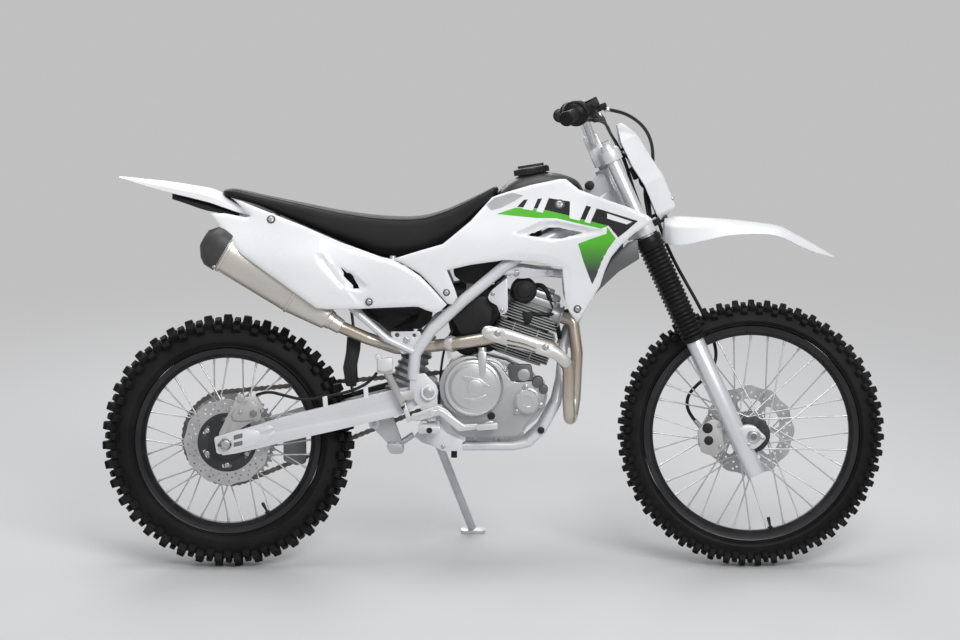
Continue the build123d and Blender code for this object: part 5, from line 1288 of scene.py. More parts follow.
def slab(low, high, length, width, corner, shift=0.0, edge=0.0006):
    """A rounded block square to the cylinder, between two heights over its foot."""
    half, side = length / 2, width / 2
    corners = [(shift - half, -side), (shift + half, -side), (shift + half, side), (shift - half, side)]
    block = placed(plate(rounded(corners, corner, 4), -high, -low), cylinder_place @ rotated(-90, "X"))
    return soften(block, edge, 40, 1 if edge < 0.001 else 2)


# The cylinder's inner block is alloy like its fins, but is coloured dark as painted shade in the gaps between the fins.
fin_shade_cores = [slab(0, 0.0917, 0.112, 0.104, 0.030, 0, 0.001), slab(0.092, 0.150, 0.116, 0.108, 0.024, 0, 0.001)]
hang(fin_shade_cores, "cylinder_cores", "frame", "dark_metal", dark_cast_and_fin_shade)
barrel = [slab(0, 0.006, 0.128, 0.118, 0.020)]
barrel += [slab(0.0080 + k * 0.0068, 0.0113 + k * 0.0068, 0.160 - 0.010 * (k % 2) * (k > 9), 0.136, 0.022)
           for k in range(12)]
barrel += [slab(0.006, 0.088, 0.0036, 0.134, 0.0005, ahead, 0) for ahead in (-0.034, 0.030)]
hang(barrel, "cylinder_barrel", "frame", "engine_alloy", cast_alloy, "cylinder")
head = [slab(0.149, 0.168, 0.126, 0.114, 0.022, 0, 0.002),
        slab(0.168, 0.186, 0.118, 0.106, 0.026, 0, 0.005), slab(0.185, 0.197, 0.078, 0.060, 0.014, 0, 0.003)]
head += [slab(0.0950 + k * 0.0070, 0.0984 + k * 0.0070, 0.152 - 0.004 * k, 0.136 - 0.002 * k, 0.022)
         for k in range(7)]
for direction, side, reach in ((1, -0.040, 0.076), (-1, 0.0, 0.074)):
    along = rotated(90 * direction, "Y")
    for radius, length, out, edge in ((0.024, reach - 0.046, 0.046, 0.0005), (0.029, 0.005, reach - 0.006, 0.001)):
        tube = round_part(radius, length, 40)
        head.append(soften(placed(tube, cylinder_place @ moved(direction * out, side, 0.138) @ along), edge))
hang(head, "cylinder_head_fins", "frame", "engine_alloy", cast_alloy, "cylinder_head")
head_nuts = [placed(round_part(0.0062, 0.010, 6), cylinder_place @ moved(ahead, side, 0.163))
             for ahead in (-0.052, 0.052) for side in (-0.045, 0.045)]
hang(softened(head_nuts, 0.0005), "head_nuts", "frame", "steel", bolt_steel)
cap_at = (0.088, 0.722)
side_cap = placed(across(0.0325, -0.050, -0.082, cap_at, 8, 0.94),
                  moved(0.088, 0, 0.722) @ rotated(22.5 - 14, "Y") @ moved(-0.088, 0, -0.722))
cap_ring = across(0.0345, -0.050, -0.062, cap_at, 48, 0.97)
cap_face = across(0.0215, -0.080, -0.0845, cap_at, 8, 0.9)
hang([soften(side_cap, 0.003, 30, 3), soften(cap_ring, 0.001), soften(cap_face, 0.0012)], "head_side_cap", "frame",
     "black_plastic", black_rubber_and_shade)
plug_cap = moulding(0.005, -0.072, -0.054, (84, 668), (112, 664), (110, 652), (104, 634), (90, 636))
plug_neck = across(0.011, -0.056, -0.040, (0.097, 0.648), 20)
lead = tube_along(0.0052, *mm((100, -63, 661), (128, -68, 659.5), (160, -62, 659), (190, -46, 664), (207.5, -24, 668)))
breather = tube_along(0.0062, *mm((112, -40, 732), (132, -46, 737), (147, -50, 722), (158, -52, 690),
                                  (167, -50, 662), (176, -40, 630), (182, -18, 596)))
hang([soften(plug_cap, 0.003, 30, 3), soften(plug_neck, 0.001), lead, breather], "plug_lead_and_breather", "frame",
     "rubber", black_rubber_and_shade)

# ==== Intake ====
# A black airbox and rubber boot behind a carburettor with an alloy body, a round cap and a float bowl.
# A black box of electrics hangs beside it; a black flap in the window under the shroud, a black wall across the bike's
# middle and a black sheet behind the side cover's vent are painted shade.
refined("intake", "airbox_and_boot", "frame", "black_plastic", black_rubber_and_shade, 0.002, 40)
lid = moulding(0.012, -0.0605, -0.078, (-344, 742), (-344, 692), (-314, 671), (-140, 674), (-134, 700), (-130, 760),
               (-240, 756))
skirt = moulding(0.008, -0.070, -0.056, (-348, 690), (-316, 655), (-256, 622), (-178, 622), (-150, 645), (-146, 690))
ribs = [plate(mm((x, 694), (x + 5, 694), (x + 5, 750), (x, 750)), -0.078, -0.0815) for x in (-300, -262, -224, -186)]
# A black sheet behind the side cover's vent: painted shade of the space behind it.
vent_shade_backing = moulding(0.008, -0.098, -0.096, (-440, 800), (-440, 700), (-330, 690), (-300, 690), (-300, 800),
                   (-380, 830))
electrics = moulding(0.008, -0.088, -0.045, (-98, 650), (-84, 700), (-60, 712), (2, 706), (10, 688), (4, 640),
                     (-26, 612), (-74, 606))
starter_motor = across(0.030, -0.072, 0.040, (-0.060, 0.584), 40, 0.94)
starter_lead = tube_along(0.005, *mm((-62, -70, 606), (-80, -82, 628), (-96, -80, 660), (-110, -66, 700)))
# A black wall across the bike's middle, closing the gap behind the carburettor: painted shade.
wall = moulding(0.012, -0.030, 0.020, (-112, 660), (-90, 720), (20, 735), (30, 640), (10, 560), (-90, 560))
hang(both_sides(softened((lid, skirt, *ribs, vent_shade_backing), 0.002, 40)), "airbox_lids", "frame", "black_plastic", black_trim_and_shade)
# A black flap in the window between the shroud's bottom and the frame spar: painted shade.
window_shade_flap = moulding(0.006, -0.066, -0.062, (-96, 806), (60, 812), (62, 778), (24, 742), (-30, 738), (-70, 742), (-92, 760))
boot_line = tube_along(0.034, *mm((-140, 0, 700), (-105, 0, 704), (-60, 0, 714)))
hang([soften(electrics, 0.003, 35, 3), soften(window_shade_flap, 0.001), boot_line, soften(starter_motor, 0.002), starter_lead,
      soften(wall, 0.002)], "electrics_and_flap", "frame", "black_plastic", black_trim_and_shade)
body = moulding(0.006, -0.034, 0.034, (-60, 742), (-26, 742), (-24, 690), (-62, 690))
bowl = moulding(0.007, -0.028, 0.028, (-64, 690), (-22, 690), (-28, 664), (-58, 664))
drum = across(0.016, -0.034, -0.044, (-0.043, 0.718), 32, 0.92)
screws = [across(0.0035, -0.028, -0.031, place, 12) for place in mm((-58, 684), (-28, 684), (-54, 668), (-32, 668))]
idle = across(0.007, -0.034, -0.056, (-0.030, 0.700), 16)
hang(softened((body, bowl, drum, *screws, idle), 0.0012), "carburettor", "frame", "engine_alloy", cast_alloy)
fuel_line = tube_along(0.0038, *mm((-40, -30, 672), (-20, -62, 668), (10, -70, 700), (20, -60, 760), (30, -40, 830),
                                   (34, -30, 866)))
drain = tube_along(0.0032, *mm((-45, -10, 666), (-80, -60, 640), (-110, -82, 600), (-128, -86, 520), (-130, -84, 440)))
hang([fuel_line, drain], "fuel_lines", "frame", "rubber", black_rubber_and_shade)

# ==== Exhaust ====
# A stainless header, tinted bronze by heat, bends round under the engine and back to a brushed muffler.
# A slotted steel shield guards the rider's leg; a black plastic cap closes the muffler's end.
muffler_steel = surface("muffler_steel", (0.68, 0.65, 0.60), (0.60, 0.57, 0.525), 0.36, metal=0.65, patch=7, grain=1600,
                        depth=0.00012, swing=0.08)
shield_steel = surface("shield_steel", (0.70, 0.69, 0.665), (0.61, 0.60, 0.575), 0.32, metal=0.55, patch=12, grain=1300,
                       depth=0.0001, swing=0.08)
cap_black = surface("cap_black", (0.034, 0.034, 0.035), (0.052, 0.052, 0.053), 0.45, patch=14, grain=1300,
                    depth=0.00025)
header_steel = surface("header_steel", (0.60, 0.55, 0.49), (0.44, 0.36, 0.28), 0.30, metal=0.75, patch=4, grain=1500,
                       depth=0.00002, swing=0.05, bump=0.12)
refined("exhaust_header", "header_pipe", "frame", "stainless", header_steel, 0, 40)
muffler_rise = math.radians(31)
muffler_back = (-math.cos(muffler_rise), 0, math.sin(muffler_rise))
muffler_up = (math.sin(muffler_rise), 0, math.cos(muffler_rise))
muffler_place = moved(-0.416, -0.108, 0.650) @ standing(muffler_back, (0, -1, 0), muffler_up)


def muffler_part(stations, squareness, along=40):
    """A skin through (back, low, high, half width) stations, measured from where the muffler starts."""
    def level(column, at):
        number = max(k for k in range(len(stations) - 1) if stations[k][0] <= at + 1e-9)
        (x0, y0), (x1, y1) = [(station[0], station[column]) for station in stations[number:number + 2]]
        return y0 + (y1 - y0) * (at - x0) / (x1 - x0)
    places = sorted({station[0] for station in stations}
                    | {stations[0][0] + (stations[-1][0] - stations[0][0]) * k / along for k in range(along + 1)})

    def place(u, w):
        back = places[round(u * (len(places) - 1))]
        low, high, half = level(1, back), level(2, back), level(3, back)
        turn = 2 * math.pi * w
        return (back, half * squared(math.cos(turn), squareness),
                (low + high) / 2 + (high - low) / 2 * squared(math.sin(turn), squareness))
    skin = shaped_grid(len(places) - 1, 72, place)
    edit(skin, action="DESELECT")
    bpy.ops.mesh.select_non_manifold()
    bpy.ops.mesh.edge_face_add()
    return soften(placed(close_up(), muffler_place), 0, 32)


body = muffler_part(mm((0, -26, 30, 26), (4, -29, 33, 29), (104, -40, 60, 40), (112, -40, 62, 40.5),
                       (310, -40, 62, 40.5), (319, -39, 61, 39.5), (319.5, 10, 12, 1)), 2.25)
bands = [muffler_part([(back, low, high, half), (back + 0.0015, low - 0.003, high + 0.003, half + 0.003),
                       (back + 0.0075, low - 0.003, high + 0.003, half + 0.003), (back + 0.009, low, high, half)],
                      2.25, 4)
         for back, low, high, half in ((0.103, -0.0395, 0.0605, 0.040), (0.306, -0.040, 0.062, 0.0405))]
collar = muffler_part(mm((-40, -17.5, 17.5, 17.5), (-38, -19.5, 19.5, 19.5), (-12, -21, 22, 21.5),
                         (-10, -23, 25, 24), (1, -23.5, 26.5, 24.5)), 2.0, 4)
hanger = soften(moulding(0.005, -0.0913, -0.0873, (-556, 780), (-530, 780), (-530, 866), (-556, 866)), 0.001)
hang([body, *bands, collar, hanger], "muffler_body", "frame", "stainless", muffler_steel, "muffler")
end_cap = muffler_part(mm((317.5, -40, 62, 40.5), (318, -44, 66, 44.5), (346, -43, 65, 44), (362, -32, 60, 41),
                          (379, -8, 40, 30), (380.5, 0, 30, 22)), 2.5, 6)
outlet = placed(round_part(0.0120, 0.030, 32), muffler_place @ moved(0.366, 0, 0.008) @ rotated(90, "Y"))
cut(end_cap, outlet)
pipe_end = round_part(0.0118, 0.010, 32)
cut(pipe_end, placed(round_part(0.0100, 0.030, 32), moved(0, 0, -0.010)))
placed(pipe_end, muffler_place @ moved(0.3662, 0, 0.008) @ rotated(90, "Y"))
hang(pipe_end, "muffler_outlet", "frame", "stainless", muffler_steel)
hang(soften(end_cap, 0.0008, 32), "muffler_cap", "frame", "black_plastic", cap_black, "muffler_end_cap")
hang(bolts(mm((-706, 787)), -0.1505, 0.0052, 0.004), "muffler_cap_bolt", "frame", "steel", bolt_steel)

shield_outline = mm((-21, 622), (-14, 634), (2, 635), (54, 624), (110, 606), (152, 590), (182, 574), (203, 557),
                    (211, 541),
                    (206, 530), (192, 526), (166, 548), (123, 563), (48, 581), (-5, 600), (-20, 610))
shield_side = lambda x, z: 0.1515 - 0.010 * max(0.0, (x - 0.14) / 0.07) ** 2
wells = mm((20, 617), (143, 581))


def shield_dent(x, z):
    """Each bolt sits in a shallow well."""
    return max(0.0, 0.0025 * min(1, (0.0165 - min(math.hypot(x - a, z - b) for a, b in wells)) / 0.004))


shield = moulded(rounded(shield_outline, 0.008), shield_side, shield_dent, 0.0016, 0.005, (), None, 0.011, 0)
slots = [moulding(0.002, -0.160, -0.130, (44, 601 - drop), (84, 592 - drop), (118, 580 - drop), (118, 575 - drop),
                  (84, 587 - drop), (44, 596 - drop)) for drop in (0, 11)]
cut(shield, *slots)
posts = [across(0.006, -0.1465, -0.1425, place, 20) for place in wells]
hang(soften(gather([shield, *posts]), 0, 40), "leg_shield", "frame", "stainless", shield_steel, "header_heat_shield")
pads = softened([across(0.0095, -0.1485, -0.1502, place, 28, 0.94) for place in wells], 0.0005)
hang([*bolts(wells, -0.1493, 0.0062, 0.0045), *pads], "leg_shield_bolts", "frame", "chrome", bolt_steel)
clamp_ring = placed(across(0.0205, -0.030, -0.010, (0, 0), 40),
                    moved(-0.100, -0.1005, 0.5855) @ rotated(62, "Z") @ moved(0, 0.020, 0))
clamp_lug = soften(moulding(0.003, -0.108, -0.094, (-112, 574), (-96, 572), (-98, 548), (-108, 548)), 0.001)
hang([soften(clamp_ring, 0.001), clamp_lug], "header_clamp", "frame", "stainless", shield_steel)

# ==== Fenders and inner mudguard ====
# Long white fenders moulded in one, with a crease down each side; the front one bolts under the lower clamp.
# Black plastic guards stand behind: one under the rear fender, one between the rear wheel and the airbox.
fender_wall = 0.003
guard_end = -0.66


def arched(stations, crease_at, crease_drop, along=90, around=48):
    """A thin arched skin through (x, crown height, edge height, half width) stations, creased down both sides."""
    start, end = stations[0][0], stations[-1][0]

    def place(u, w):
        x = start + (end - start) * u
        crown, edge, half = columns(stations, x)
        across_share = 2 * w - 1
        share = abs(across_share)
        if share < crease_at:
            drop, reach = crease_drop * (share / crease_at) ** 2.4, 0.94 * share / crease_at
        else:
            beyond = (share - crease_at) / (1 - crease_at)
            drop, reach = crease_drop + (1 - crease_drop) * beyond, 0.94 + 0.06 * beyond
        return (x, math.copysign(half * reach, across_share), crown - (crown - edge) * drop)
    return soften(walled(shaped_grid(along, around, place), fender_wall, (0, 0, 1)), 0.0006, 50)


rear_stations = mm((-959, 1014.8, 1011.5, 30), (-930, 1012.5, 1004, 45), (-902, 1009.2, 995.5, 55),
                   (-833, 1002, 976.5, 68), (-759, 990.5, 959, 79), (-720, 983, 949, 84), (-696, 973, 941, 86),
                   (-655, 948, 927, 88), (-622, 930, 917, 88))
hang(arched(rear_stations, 0.74, 0.50), "rear_fender_shell", "frame", "white_plastic", white_plastic, "rear_fender")
under_stations = mm((-820, 974, 957, 52), (-790, 968, 948, 60), (-733, 953, 929, 66), (-690, 940, 921.5, 70),
                    (-645, 926, 913, 72))
hang(arched(under_stations, 0.80, 0.15, 30, 24), "rear_fender_guard", "frame", "black_plastic", black_trim_and_shade)
guard = refined("inner_mudguard", "wheel_mudguard", "frame", "black_plastic", black_trim_and_shade, 0.0012)
edit(guard)
bpy.ops.mesh.bisect(plane_co=(guard_end, 0, 0), plane_no=(-1, 0, 0), clear_outer=True, use_fill=True)
bpy.ops.object.mode_set(mode="OBJECT")
guard_lip = moulding(0.006, -0.0560, -0.0515, (-368, 612), (-334, 612), (-338, 560), (-346, 520), (-344, 472),
                     (-372, 472), (-380, 520), (-372, 560))
hang(both_sides(soften(guard_lip, 0.0012)), "mudguard_lips", "frame", "black_plastic", black_trim_and_shade)

front_stations = mm((452, 912, 844, 58), (470, 912, 840, 76), (500, 911, 840, 84), (566, 907, 854, 86),
                    (622, 903, 865, 85), (710, 893, 868, 80), (757, 884, 858, 72), (800, 862, 837, 60),
                    (840, 840, 820, 46), (870, 822, 811, 32), (894, 808, 804, 16))
hang(arched(front_stations, 0.60, 0.34, 110, 56), "front_fender_shell", "steering", "white_plastic",
     white_plastic, "front_fender")

# ==== Fork ====
# A telescopic fork: alloy sliders below, alloy upper tubes held in two forged clamps, ribbed rubber gaiters between.
# A cast foot on each slider holds the axle, pinched by two bolts.
rake = math.radians(24.6)
fork_up = Vector((-math.sin(rake), 0, math.cos(rake)))
fork_ahead = Vector((math.cos(rake), 0, math.sin(rake)))
leg_side, leg_behind = 0.095, -0.035


def on_fork(along, ahead, side=0.0):
    """A point by its distance up the fork, ahead of the axle line and left of the middle."""
    return front_centre + fork_up * along + fork_ahead * ahead + Vector((0, side, 0))


def fork_view(*points):
    """A side-view outline from millimetres (up the fork, ahead of the axle line)."""
    return [(on_fork(*place).x, on_fork(*place).z) for place in mm(*points)]


def up_fork(along, ahead, side):
    """Where a piece made upright round the origin stands on the fork."""
    return moved(*on_fork(along, ahead, side)) @ standing(fork_ahead, (0, 1, 0), fork_up)


def turned(profile, steps=64, corner=30):
    """A piece turned on a lathe round the upright: (radius, height) points of its section."""
    piece = draw_and_spin(profile, Vector((0, 0, 0)), steps)
    bpy.ops.object.transform_apply(location=True)
    return soften(placed(piece, rotated(90, "X")), 0, corner)


fork_alloy = surface("fork_alloy", (0.74, 0.75, 0.77), (0.66, 0.67, 0.69), 0.34, metal=0.5, patch=8, grain=1500,
                     depth=0.00006, swing=0.07)
clamp_alloy = surface("clamp_alloy", (0.72, 0.73, 0.74), (0.64, 0.65, 0.66), 0.42, metal=0.4, patch=12, grain=1200,
                      depth=0.0002, swing=0.08)
gaiter_rubber = surface("gaiter_rubber", (0.0055, 0.0055, 0.006), (0.012, 0.012, 0.012), 0.42, patch=18, grain=1200,
                        depth=0.00015, shine=0.18)
refined("fork_sliders", "fork_lower_legs", "steering", "bare_alloy", fork_alloy, 0.0018, 40)
refined("fork_tubes", "fork_upper_tubes", "steering", "bare_alloy", fork_alloy, 0.0008, 40)
ribs = 22
rib_start, rib_end = 0.302, 0.549
pitch = (rib_end - rib_start) / ribs
section = mm((18.8, 288), (30, 288), (30, 300))
for k in range(ribs):
    crest = 0.0302 + 0.0028 * k / ribs
    foot = rib_start + pitch * k
    section += [(crest - 0.0042, foot), (crest - 0.0004, foot + 0.28 * pitch), (crest, foot + 0.45 * pitch),
                (crest - 0.0004, foot + 0.62 * pitch), (crest - 0.0042, foot + 0.90 * pitch)]
section += [(0.0325, rib_end), (0.0335, 0.553), (0.0335, 0.560), (0.0322, 0.561), (0.0322, 0.566), (0.0335, 0.567),
            (0.0335, 0.580), (0.0318, 0.5825), (0.0188, 0.5825)]
gaiters = [placed(turned(section, 56, 40), up_fork(0, leg_behind, side)) for side in (-leg_side, leg_side)]
hang(gaiters, "fork_boots", "steering", "rubber", gaiter_rubber, "fork_gaiters")
caps = []
for side in (-leg_side, leg_side):
    cap = turned(mm((0, 836), (16.5, 836), (16.5, 839.5), (15, 840.5), (0, 840.5)), 48)
    nut = placed(round_part(0.0105, 0.007, 6, 0.95), moved(0, 0, 0.840))
    caps += [placed(part, up_fork(0, leg_behind, side)) for part in (cap, nut)]
    caps.append(placed(round_part(0.0042, 0.0085, 16), up_fork(0.838, leg_behind + 0.011, side)))
hang(caps, "fork_caps", "steering", "dark_metal", link_alloy)
boss_outline = rounded(mm((640, 366), (660, 377), (684, 375), (700, 357), (714, 345), (700, 327), (680, 312),
                          (660, 322)), 0.010, 4)
feet = [plate(boss_outline, near, far) for near, far in ((-0.1175, -0.0760), (0.0760, 0.1175))]
hang(softened(feet, 0.0025, 35, 3), "axle_feet", "steering", "bare_alloy", fork_alloy)
fork_ends = (0.680, 0.347)
ring = across(0.0185, 0.1175, 0.1190, fork_ends, 40, 0.96)
cut(ring, across(0.0135, 0.1075, 0.1290, fork_ends, 40))
axle_end = across(0.0132, 0.1175, 0.1200, fork_ends, 40, 0.96)
hang(both_sides(softened((ring, axle_end), 0.0004)), "axle_collars", "steering", "steel", bolt_steel)
refined("front_axle", "front_axle_shaft", "steering", "steel", bolt_steel, 0.0006)
# The front axle's hollow ends are thin dark discs: painted shade in the bore.
hang(both_sides(across(0.0085, 0.1198, 0.1206, fork_ends, 32)), "axle_bore_ends", "steering", "dark_metal", dark_grey_and_recess_shade)
hang(both_sides(bolts(mm((703, 343), (668, 326)), -0.1175, 0.0050, 0.003)), "axle_pinch_bolts", "steering", "steel",
     bolt_steel)

# ==== Steering clamps, bar and plate ====
# Forged alloy clamps on the stem; a bent tapered bar in bolted risers; a white number plate of flat facets.
# The plate hangs in front of the clamps on black tabs, over the wiring.
refined("triple_clamps", "steering_clamps", "steering", "bare_alloy", clamp_alloy, 0.0035, 40, 3)
refined("handlebar", "handlebar_tube", "steering", "bare_alloy", fork_alloy, 0.0006, 40)
stem_nut = placed(round_part(0.0165, 0.010, 6, 0.94), up_fork(0.824, -0.060, 0.0))
riser_bolts = [placed(round_part(0.0048, 0.005, 16, 0.94), up_fork(0.876, ahead, side))
               for side in (0.048, -0.048) for ahead in (-0.074, -0.050)]
pinch_bolts = [placed(round_part(0.0052, 0.006, 16, 0.94), up_fork(along, leg_behind + 0.022, side) @ rotated(90, "Y"))
               for along in (0.600, 0.612, 0.8095) for side in (-0.078, 0.078)]
hang([*softened((stem_nut, *riser_bolts), 0.0006), *pinch_bolts], "clamp_bolts", "steering", "steel", bolt_steel)

plate_levels = mm((602, 24, 16, 28), (620, 66, 12, 56), (706, 69, 14, 86), (762, 60, 6, 92), (832, 52, 5, 86),
                  (866, 34, 14, 60), (874, 28, 16, 50))


def on_plate(u, w):
    """A point on the number plate, by the share of its height and of its width."""
    along = plate_levels[0][0] + (plate_levels[-1][0] - plate_levels[0][0]) * u
    number = max(k for k in range(len(plate_levels) - 1) if plate_levels[k][0] <= along + 1e-9)
    low, high = plate_levels[number], plate_levels[number + 1]
    centre, edge, half = [low[k] + (high[k] - low[k]) * (along - low[0]) / (high[0] - low[0]) for k in (1, 2, 3)]
    across_share = 2 * w - 1
    ahead = centre + (edge - centre) * max(0.0, (abs(across_share) - 0.46) / 0.54)
    return on_fork(along, ahead, half * across_share)


number_plate = walled(shaped_grid(68, 46, on_plate), 0.003, (1, 0, 0))
hang(soften(number_plate, 0.0006, 14), "number_plate_shell", "steering", "white_plastic", white_plastic, "number_plate")
tabs = [plate(rounded(fork_view((616, -5), (624, -5), (624, 36), (616, 36)), 0.002), -0.013, 0.013),
        plate(rounded(fork_view((806, -5), (814, -5), (814, 47), (806, 47)), 0.002), -0.013, 0.013),
        plate(rounded(fork_view((594, -5), (610, -5), (610, 36), (598, 34)), 0.003), -0.030, 0.030)]
hang(softened(tabs, 0.001), "plate_and_fender_tabs", "steering", "black_plastic", black_trim_and_shade)
looms = [tube_along(0.0042, *[on_fork(*place) for place in route]) for route in
         (((0.800, -0.004, -0.050), (0.772, 0.018, -0.056), (0.742, 0.006, -0.052), (0.712, 0.020, -0.050),
           (0.680, 0.004, -0.044), (0.640, -0.006, -0.040), (0.606, -0.014, -0.040)),
          ((0.790, 0.008, -0.036), (0.752, 0.030, -0.040), (0.716, 0.004, -0.036), (0.690, 0.016, -0.034),
           (0.655, 0.006, -0.034), (0.608, -0.010, -0.034)))]
plug = soften(plate(rounded(fork_view((726, -6), (726, 22), (760, 24), (760, -4)), 0.004), -0.046, -0.024), 0.0015)
hang([*looms, plug], "wiring_loom", "steering", "rubber", black_rubber_and_shade)
plate_bolts = [placed(round_part(0.0055, 0.0035, 24, 0.8), up_fork(0.642, 0.0655, side) @ rotated(90, "Y"))
               for side in (-0.030, 0.030)]
hang(softened(plate_bolts, 0.0006), "plate_bolts", "steering", "steel", bolt_steel)

# ==== Grips and hand controls ====
# Ribbed rubber grips with flanges; black clamps, a throttle housing, forged levers, a brake reservoir with its lid.
# Each grip and its housing slide onto an end of the bar, and small bolts close the clamps.
refined("hand_controls", "hand_control_bodies", "steering", "black_plastic", black_trim_and_shade, 0.0016, 40)
grips, housings = [], []
for sign in (-1, 1):
    bar_end = on_fork(0.950, -0.104, sign * 0.398)
    inward = (on_fork(0.950, -0.056, sign * 0.196) - bar_end).normalized()
    grip_place = moved(*bar_end - inward * 0.002) @ aimed(inward)
    section = mm((0, 0), (15, 0), (18.5, 1.5), (19, 4.5), (16.5, 7.5))
    for k in range(13):
        start = 0.010 + k * 0.0074
        section += [(0.0152, start), (0.0164, start + 0.0012), (0.0164, start + 0.0046), (0.0152, start + 0.0058)]
    section += mm((16.5, 107.5), (24, 110.5), (26.5, 113), (26.5, 116.5), (24, 119), (16.5, 121.5), (11.2, 122),
                  (11.2, 3), (0, 3))
    grips.append(placed(turned(section, 48, 35), grip_place))
    wide = 0.0325 if sign < 0 else 0.0245
    housing = turned([(0.0112, 0.124), (wide - 0.004, 0.124), (wide, 0.127), (wide, 0.150), (wide - 0.004, 0.154),
                      (0.0112, 0.154)], 40)
    housings.append(placed(housing, grip_place))
hang(grips, "hand_grips", "steering", "rubber", gaiter_rubber, "grips")
lid = plate(rounded(fork_view((962, -46), (962, -8), (967, -10), (967, -44)), 0.0015), -0.244, -0.200)
window = across(0.006, -0.2445, -0.2462, *fork_view((950, -27)), 24)
block = plate(rounded(fork_view((926, -40), (930, 6), (944, 8), (946, -40)), 0.005), -0.205, -0.160)
hang([*housings, soften(lid, 0.001), soften(window, 0.0005), soften(block, 0.003, 35, 3)], "control_housings",
     "steering", "black_plastic", gaiter_rubber)
bright = []
for (along, ahead, side), radius, tall, turn in (
        ((0.9345, -0.012, -0.171), 0.0075, 0.018, 90), ((0.924, -0.004, -0.175), 0.0055, 0.014, 90),
        ((0.915, -0.020, -0.232), 0.0060, 0.012, 0), ((0.915, -0.020, 0.232), 0.0060, 0.012, 0),
        ((0.968, -0.040, -0.208), 0.0028, 0.0025, 0), ((0.968, -0.014, -0.236), 0.0028, 0.0025, 0)):
    part = placed(round_part(radius, tall, 16, 0.92), up_fork(along, ahead, side) @ rotated(turn, "Y"))
    bright.append(soften(part, 0.0005))
hang(bright, "control_fixings", "steering", "chrome", bolt_steel)

# ==== Brakes ====
# Cast calipers, the front on the left slider's lug, the rear on a bracket over the arm by its master cylinder.
# A known fault: the front bridge, piston caps and bolts stand on the wheel's right, apart from their caliper.
caliper_cast = surface("caliper_cast", (0.50, 0.495, 0.488), (0.41, 0.405, 0.40), 0.40, metal=0.4, patch=18, grain=1000,
                       depth=0.0003)
refined("front_brake_caliper", "front_caliper_body", "steering", "engine_alloy", caliper_cast, 0.0022, 40)
refined("rear_brake", "rear_brake_parts", "frame", "engine_alloy", caliper_cast, 0.0018, 40)
bridge = moulding(0.006, -0.0792, -0.0835, (536, 356), (544, 370), (576, 390), (600, 384), (604, 340), (608, 312),
                  (580, 292), (546, 304))
rear_bridge = moulding(0.005, -0.0780, -0.0850, (-667, 398), (-662, 411), (-650, 421), (-634, 429), (-627, 440),
                       (-614, 437), (-597, 422), (-598, 402), (-604, 388), (-640, 384), (-662, 386))
hang(soften(bridge, 0.002, 35, 3), "front_caliper_bridge", "steering", "engine_alloy", caliper_cast)
banjo = across(0.011, -0.066, -0.082, (-0.644, 0.443), 28, 0.95)
hang([soften(rear_bridge, 0.002, 35, 3), soften(banjo, 0.001)], "rear_caliper_bridge", "frame", "engine_alloy",
     caliper_cast)
pistons = [across(radius, -0.0830, -0.0848, place, 36, 0.9)
           for radius, place in ((0.0140, (0.563, 0.366)), (0.0125, (0.566, 0.334)))]
hang(softened(pistons, 0.0008), "front_piston_caps", "steering", "black_plastic", black_trim_and_shade)
hang(soften(across(0.0100, -0.0845, -0.0905, (-0.610, 0.404), 6, 0.92), 0.0008), "rear_piston_plug", "frame",
     "dark_metal",
     dark_grey_and_recess_shade)
rear_bolts = bolts(mm((-644, 408)), -0.0848, 0.0060, 0.004) + bolts(mm((-588, 410)), -0.0792, 0.0062, 0.004)
hang(rear_bolts, "rear_caliper_bolts", "frame", "steel", bolt_steel)
hang(bolts(mm((592, 372), (596, 318)), -0.0835, 0.0050, 0.004), "front_caliper_bolts", "steering", "steel", bolt_steel)
clevis = moulding(0.003, -0.1335, -0.1285, (-226, 436), (-217, 438), (-200, 390), (-212, 384))
rod = tube_along(0.0032, *mm((-234.5, -127, 455), (-228.5, -129, 445), (-218, -131, 424)))
boot = placed(round_part(0.0102, 0.020, 28, 0.62), moved(-0.2255, -0.126, 0.436) @ aimed((0.44, -0.03, -0.90)))
head = moulding(0.005, -0.1135, -0.1395, (-288, 548), (-250, 553), (-249, 523), (-269, 517), (-288, 521))
union = across(0.008, -0.116, -0.134, (-0.287, 0.553), 24, 0.95)
hang([soften(clevis, 0.001), rod], "brake_push_rod", "frame", "bare_alloy", clamp_alloy)
hang(soften(boot, 0.001), "master_cylinder_boot", "frame", "rubber", black_rubber_and_shade)
hang([soften(head, 0.002, 35, 3), soften(union, 0.0008)], "rear_master_head", "frame", "engine_alloy", clamp_alloy)

# ==== Foot controls ====
# A forged brake pedal on the right, a shift lever with a rubber on the left, and folding steel foot pegs with teeth.
# The pegs' teeth stand in two rows on each side.
forged_alloy = surface("forged_alloy", (0.70, 0.705, 0.71), (0.60, 0.605, 0.61), 0.34, metal=0.4, patch=16, grain=1100,
                       depth=0.0002, swing=0.09)
refined("foot_controls", "foot_control_parts", "frame", "bare_alloy", forged_alloy, 0.0016, 40)
arm = moulding(0.005, -0.1360, -0.1265, (-200, 408), (-187, 410), (-134, 430), (-112, 420), (-72, 380), (-30, 382),
               (-30, 368), (-80, 362), (-128, 404), (-190, 388), (-204, 394))
teeth = []
for side in (-1, 1):
    for edge in (-179, -134):
        outline = mm((edge, 382), (edge + 5, 382), (edge + 4, 389), (edge + 1, 389))
        teeth += [plate(outline, *sorted((side * (0.126 + k * 0.0125), side * (0.131 + k * 0.0125)))) for k in range(9)]
hang([soften(arm, 0.002, 35, 3), *teeth], "pedal_arm_and_peg_teeth", "frame", "bare_alloy", forged_alloy)
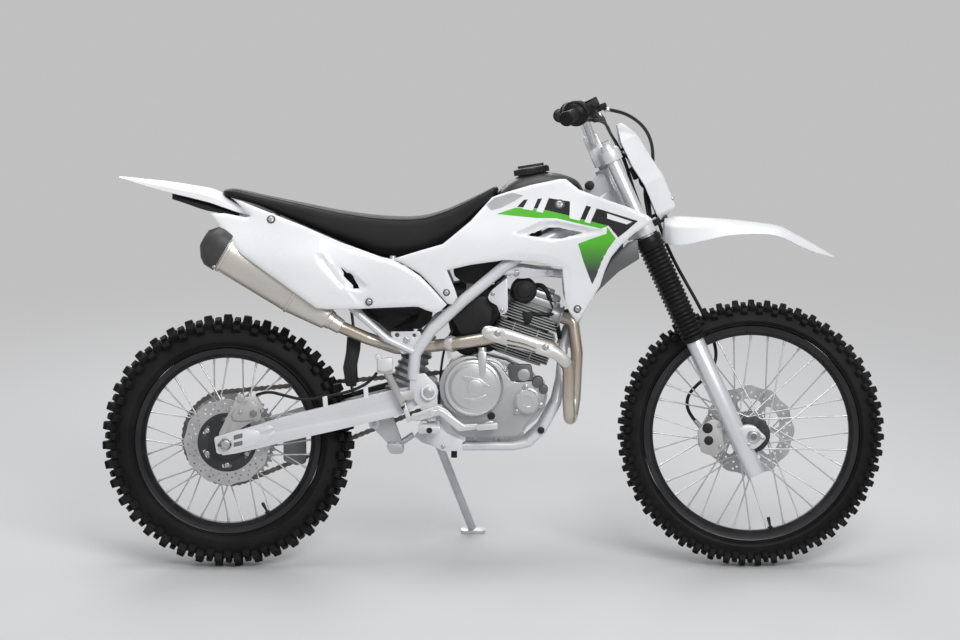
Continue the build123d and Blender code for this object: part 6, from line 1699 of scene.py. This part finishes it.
# The foot peg's open end is a thin black disc: painted shade in its hollow.
peg_hole_shade = across(0.0075, -0.2350, -0.2358, (-0.154, 0.374), 24)
toe_rubber = across(0.0105, 0.140, 0.172, (0.036, 0.385), 28, 0.97)
hang([peg_hole_shade, soften(toe_rubber, 0.001)], "foot_rubbers", "frame", "rubber", black_rubber_and_shade)

# ==== Brake hoses and control cables ====
# Rubber brake hoses and black-sheathed control cables, each one smooth round line between its two fittings.
# Three of them turn with the steering; the rear hose stays on the frame.
hose_black = surface("hose_black", (0.010, 0.010, 0.0105), (0.020, 0.020, 0.021), 0.42, patch=25, grain=1500,
                     depth=0.00008, shine=0.3)


def held_line(name, body, points, radius, length, *nodes):
    """A hose or cable on one smooth line through its route, from one fitting to the other."""
    piece = round_line(name, [parked @ place for place in points], radius, 10)
    piece.data.materials.append(hose_black)
    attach(piece, body)
    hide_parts(*nodes)
    return piece


rear_hose_route = [Vector(place) for place in
                   mm((-604, -60, 450), (-576, -72, 462), (-532, -88, 452), (-482, -96, 440), (-432, -97, 448),
                      (-386, -97, 456), (-340, -100, 470), (-304, -110, 492), (-291, -125, 512))]
held_line("rear_hose", "frame", rear_hose_route, 0.0040, 0.347, "rear_brake_hose")
front_hose_route = [on_fork(*place) for place in
                    mm((934, -10, -171), (918, 14, -156), (896, 42, -130), (866, 64, -96), (832, 77, -54),
                       (796, 78, -8),
                       (762, 69, 34), (724, 52, 70), (686, 34, 96), (640, 20, 109), (586, 11, 107), (530, 6, 102),
                       (472, 7, 98), (414, 12, 97), (356, 17, 99), (300, 19, 98), (248, 15, 89), (206, 2, 74),
                       (176, -34, 60), (166, -78, 56), (148, -112, 58), (112, -126, 60), (84, -118, 61))]
held_line("front_hose", "steering", front_hose_route, 0.0045, 1.085, "front_brake_hose")
clutch_route = [on_fork(*place) for place in
                mm((922, -29, 222.8), (922, -14, 190), (906, -4, 150), (872, -9, 100), (830, -5, 60), (776, -5, 46),
                   (726, -12, 38), (676, -17, 34), (624.3, -20, 32))]
held_line("clutch_cable", "steering", clutch_route, 0.0035, 0.406, "control_cables")
throttle_route = [on_fork(*place) for place in
                  mm((926.5, -67.5, -245.8), (919, -48, -220), (906, -24, -186), (886, -11, -146), (862, -12, -100),
                     (828, -5, -60), (776, -5, -46), (722, -13, -38), (672, -17, -34), (624.3, -20, -32))]
held_line("throttle_cable", "steering", throttle_route, 0.0035, 0.433, "control_cables")
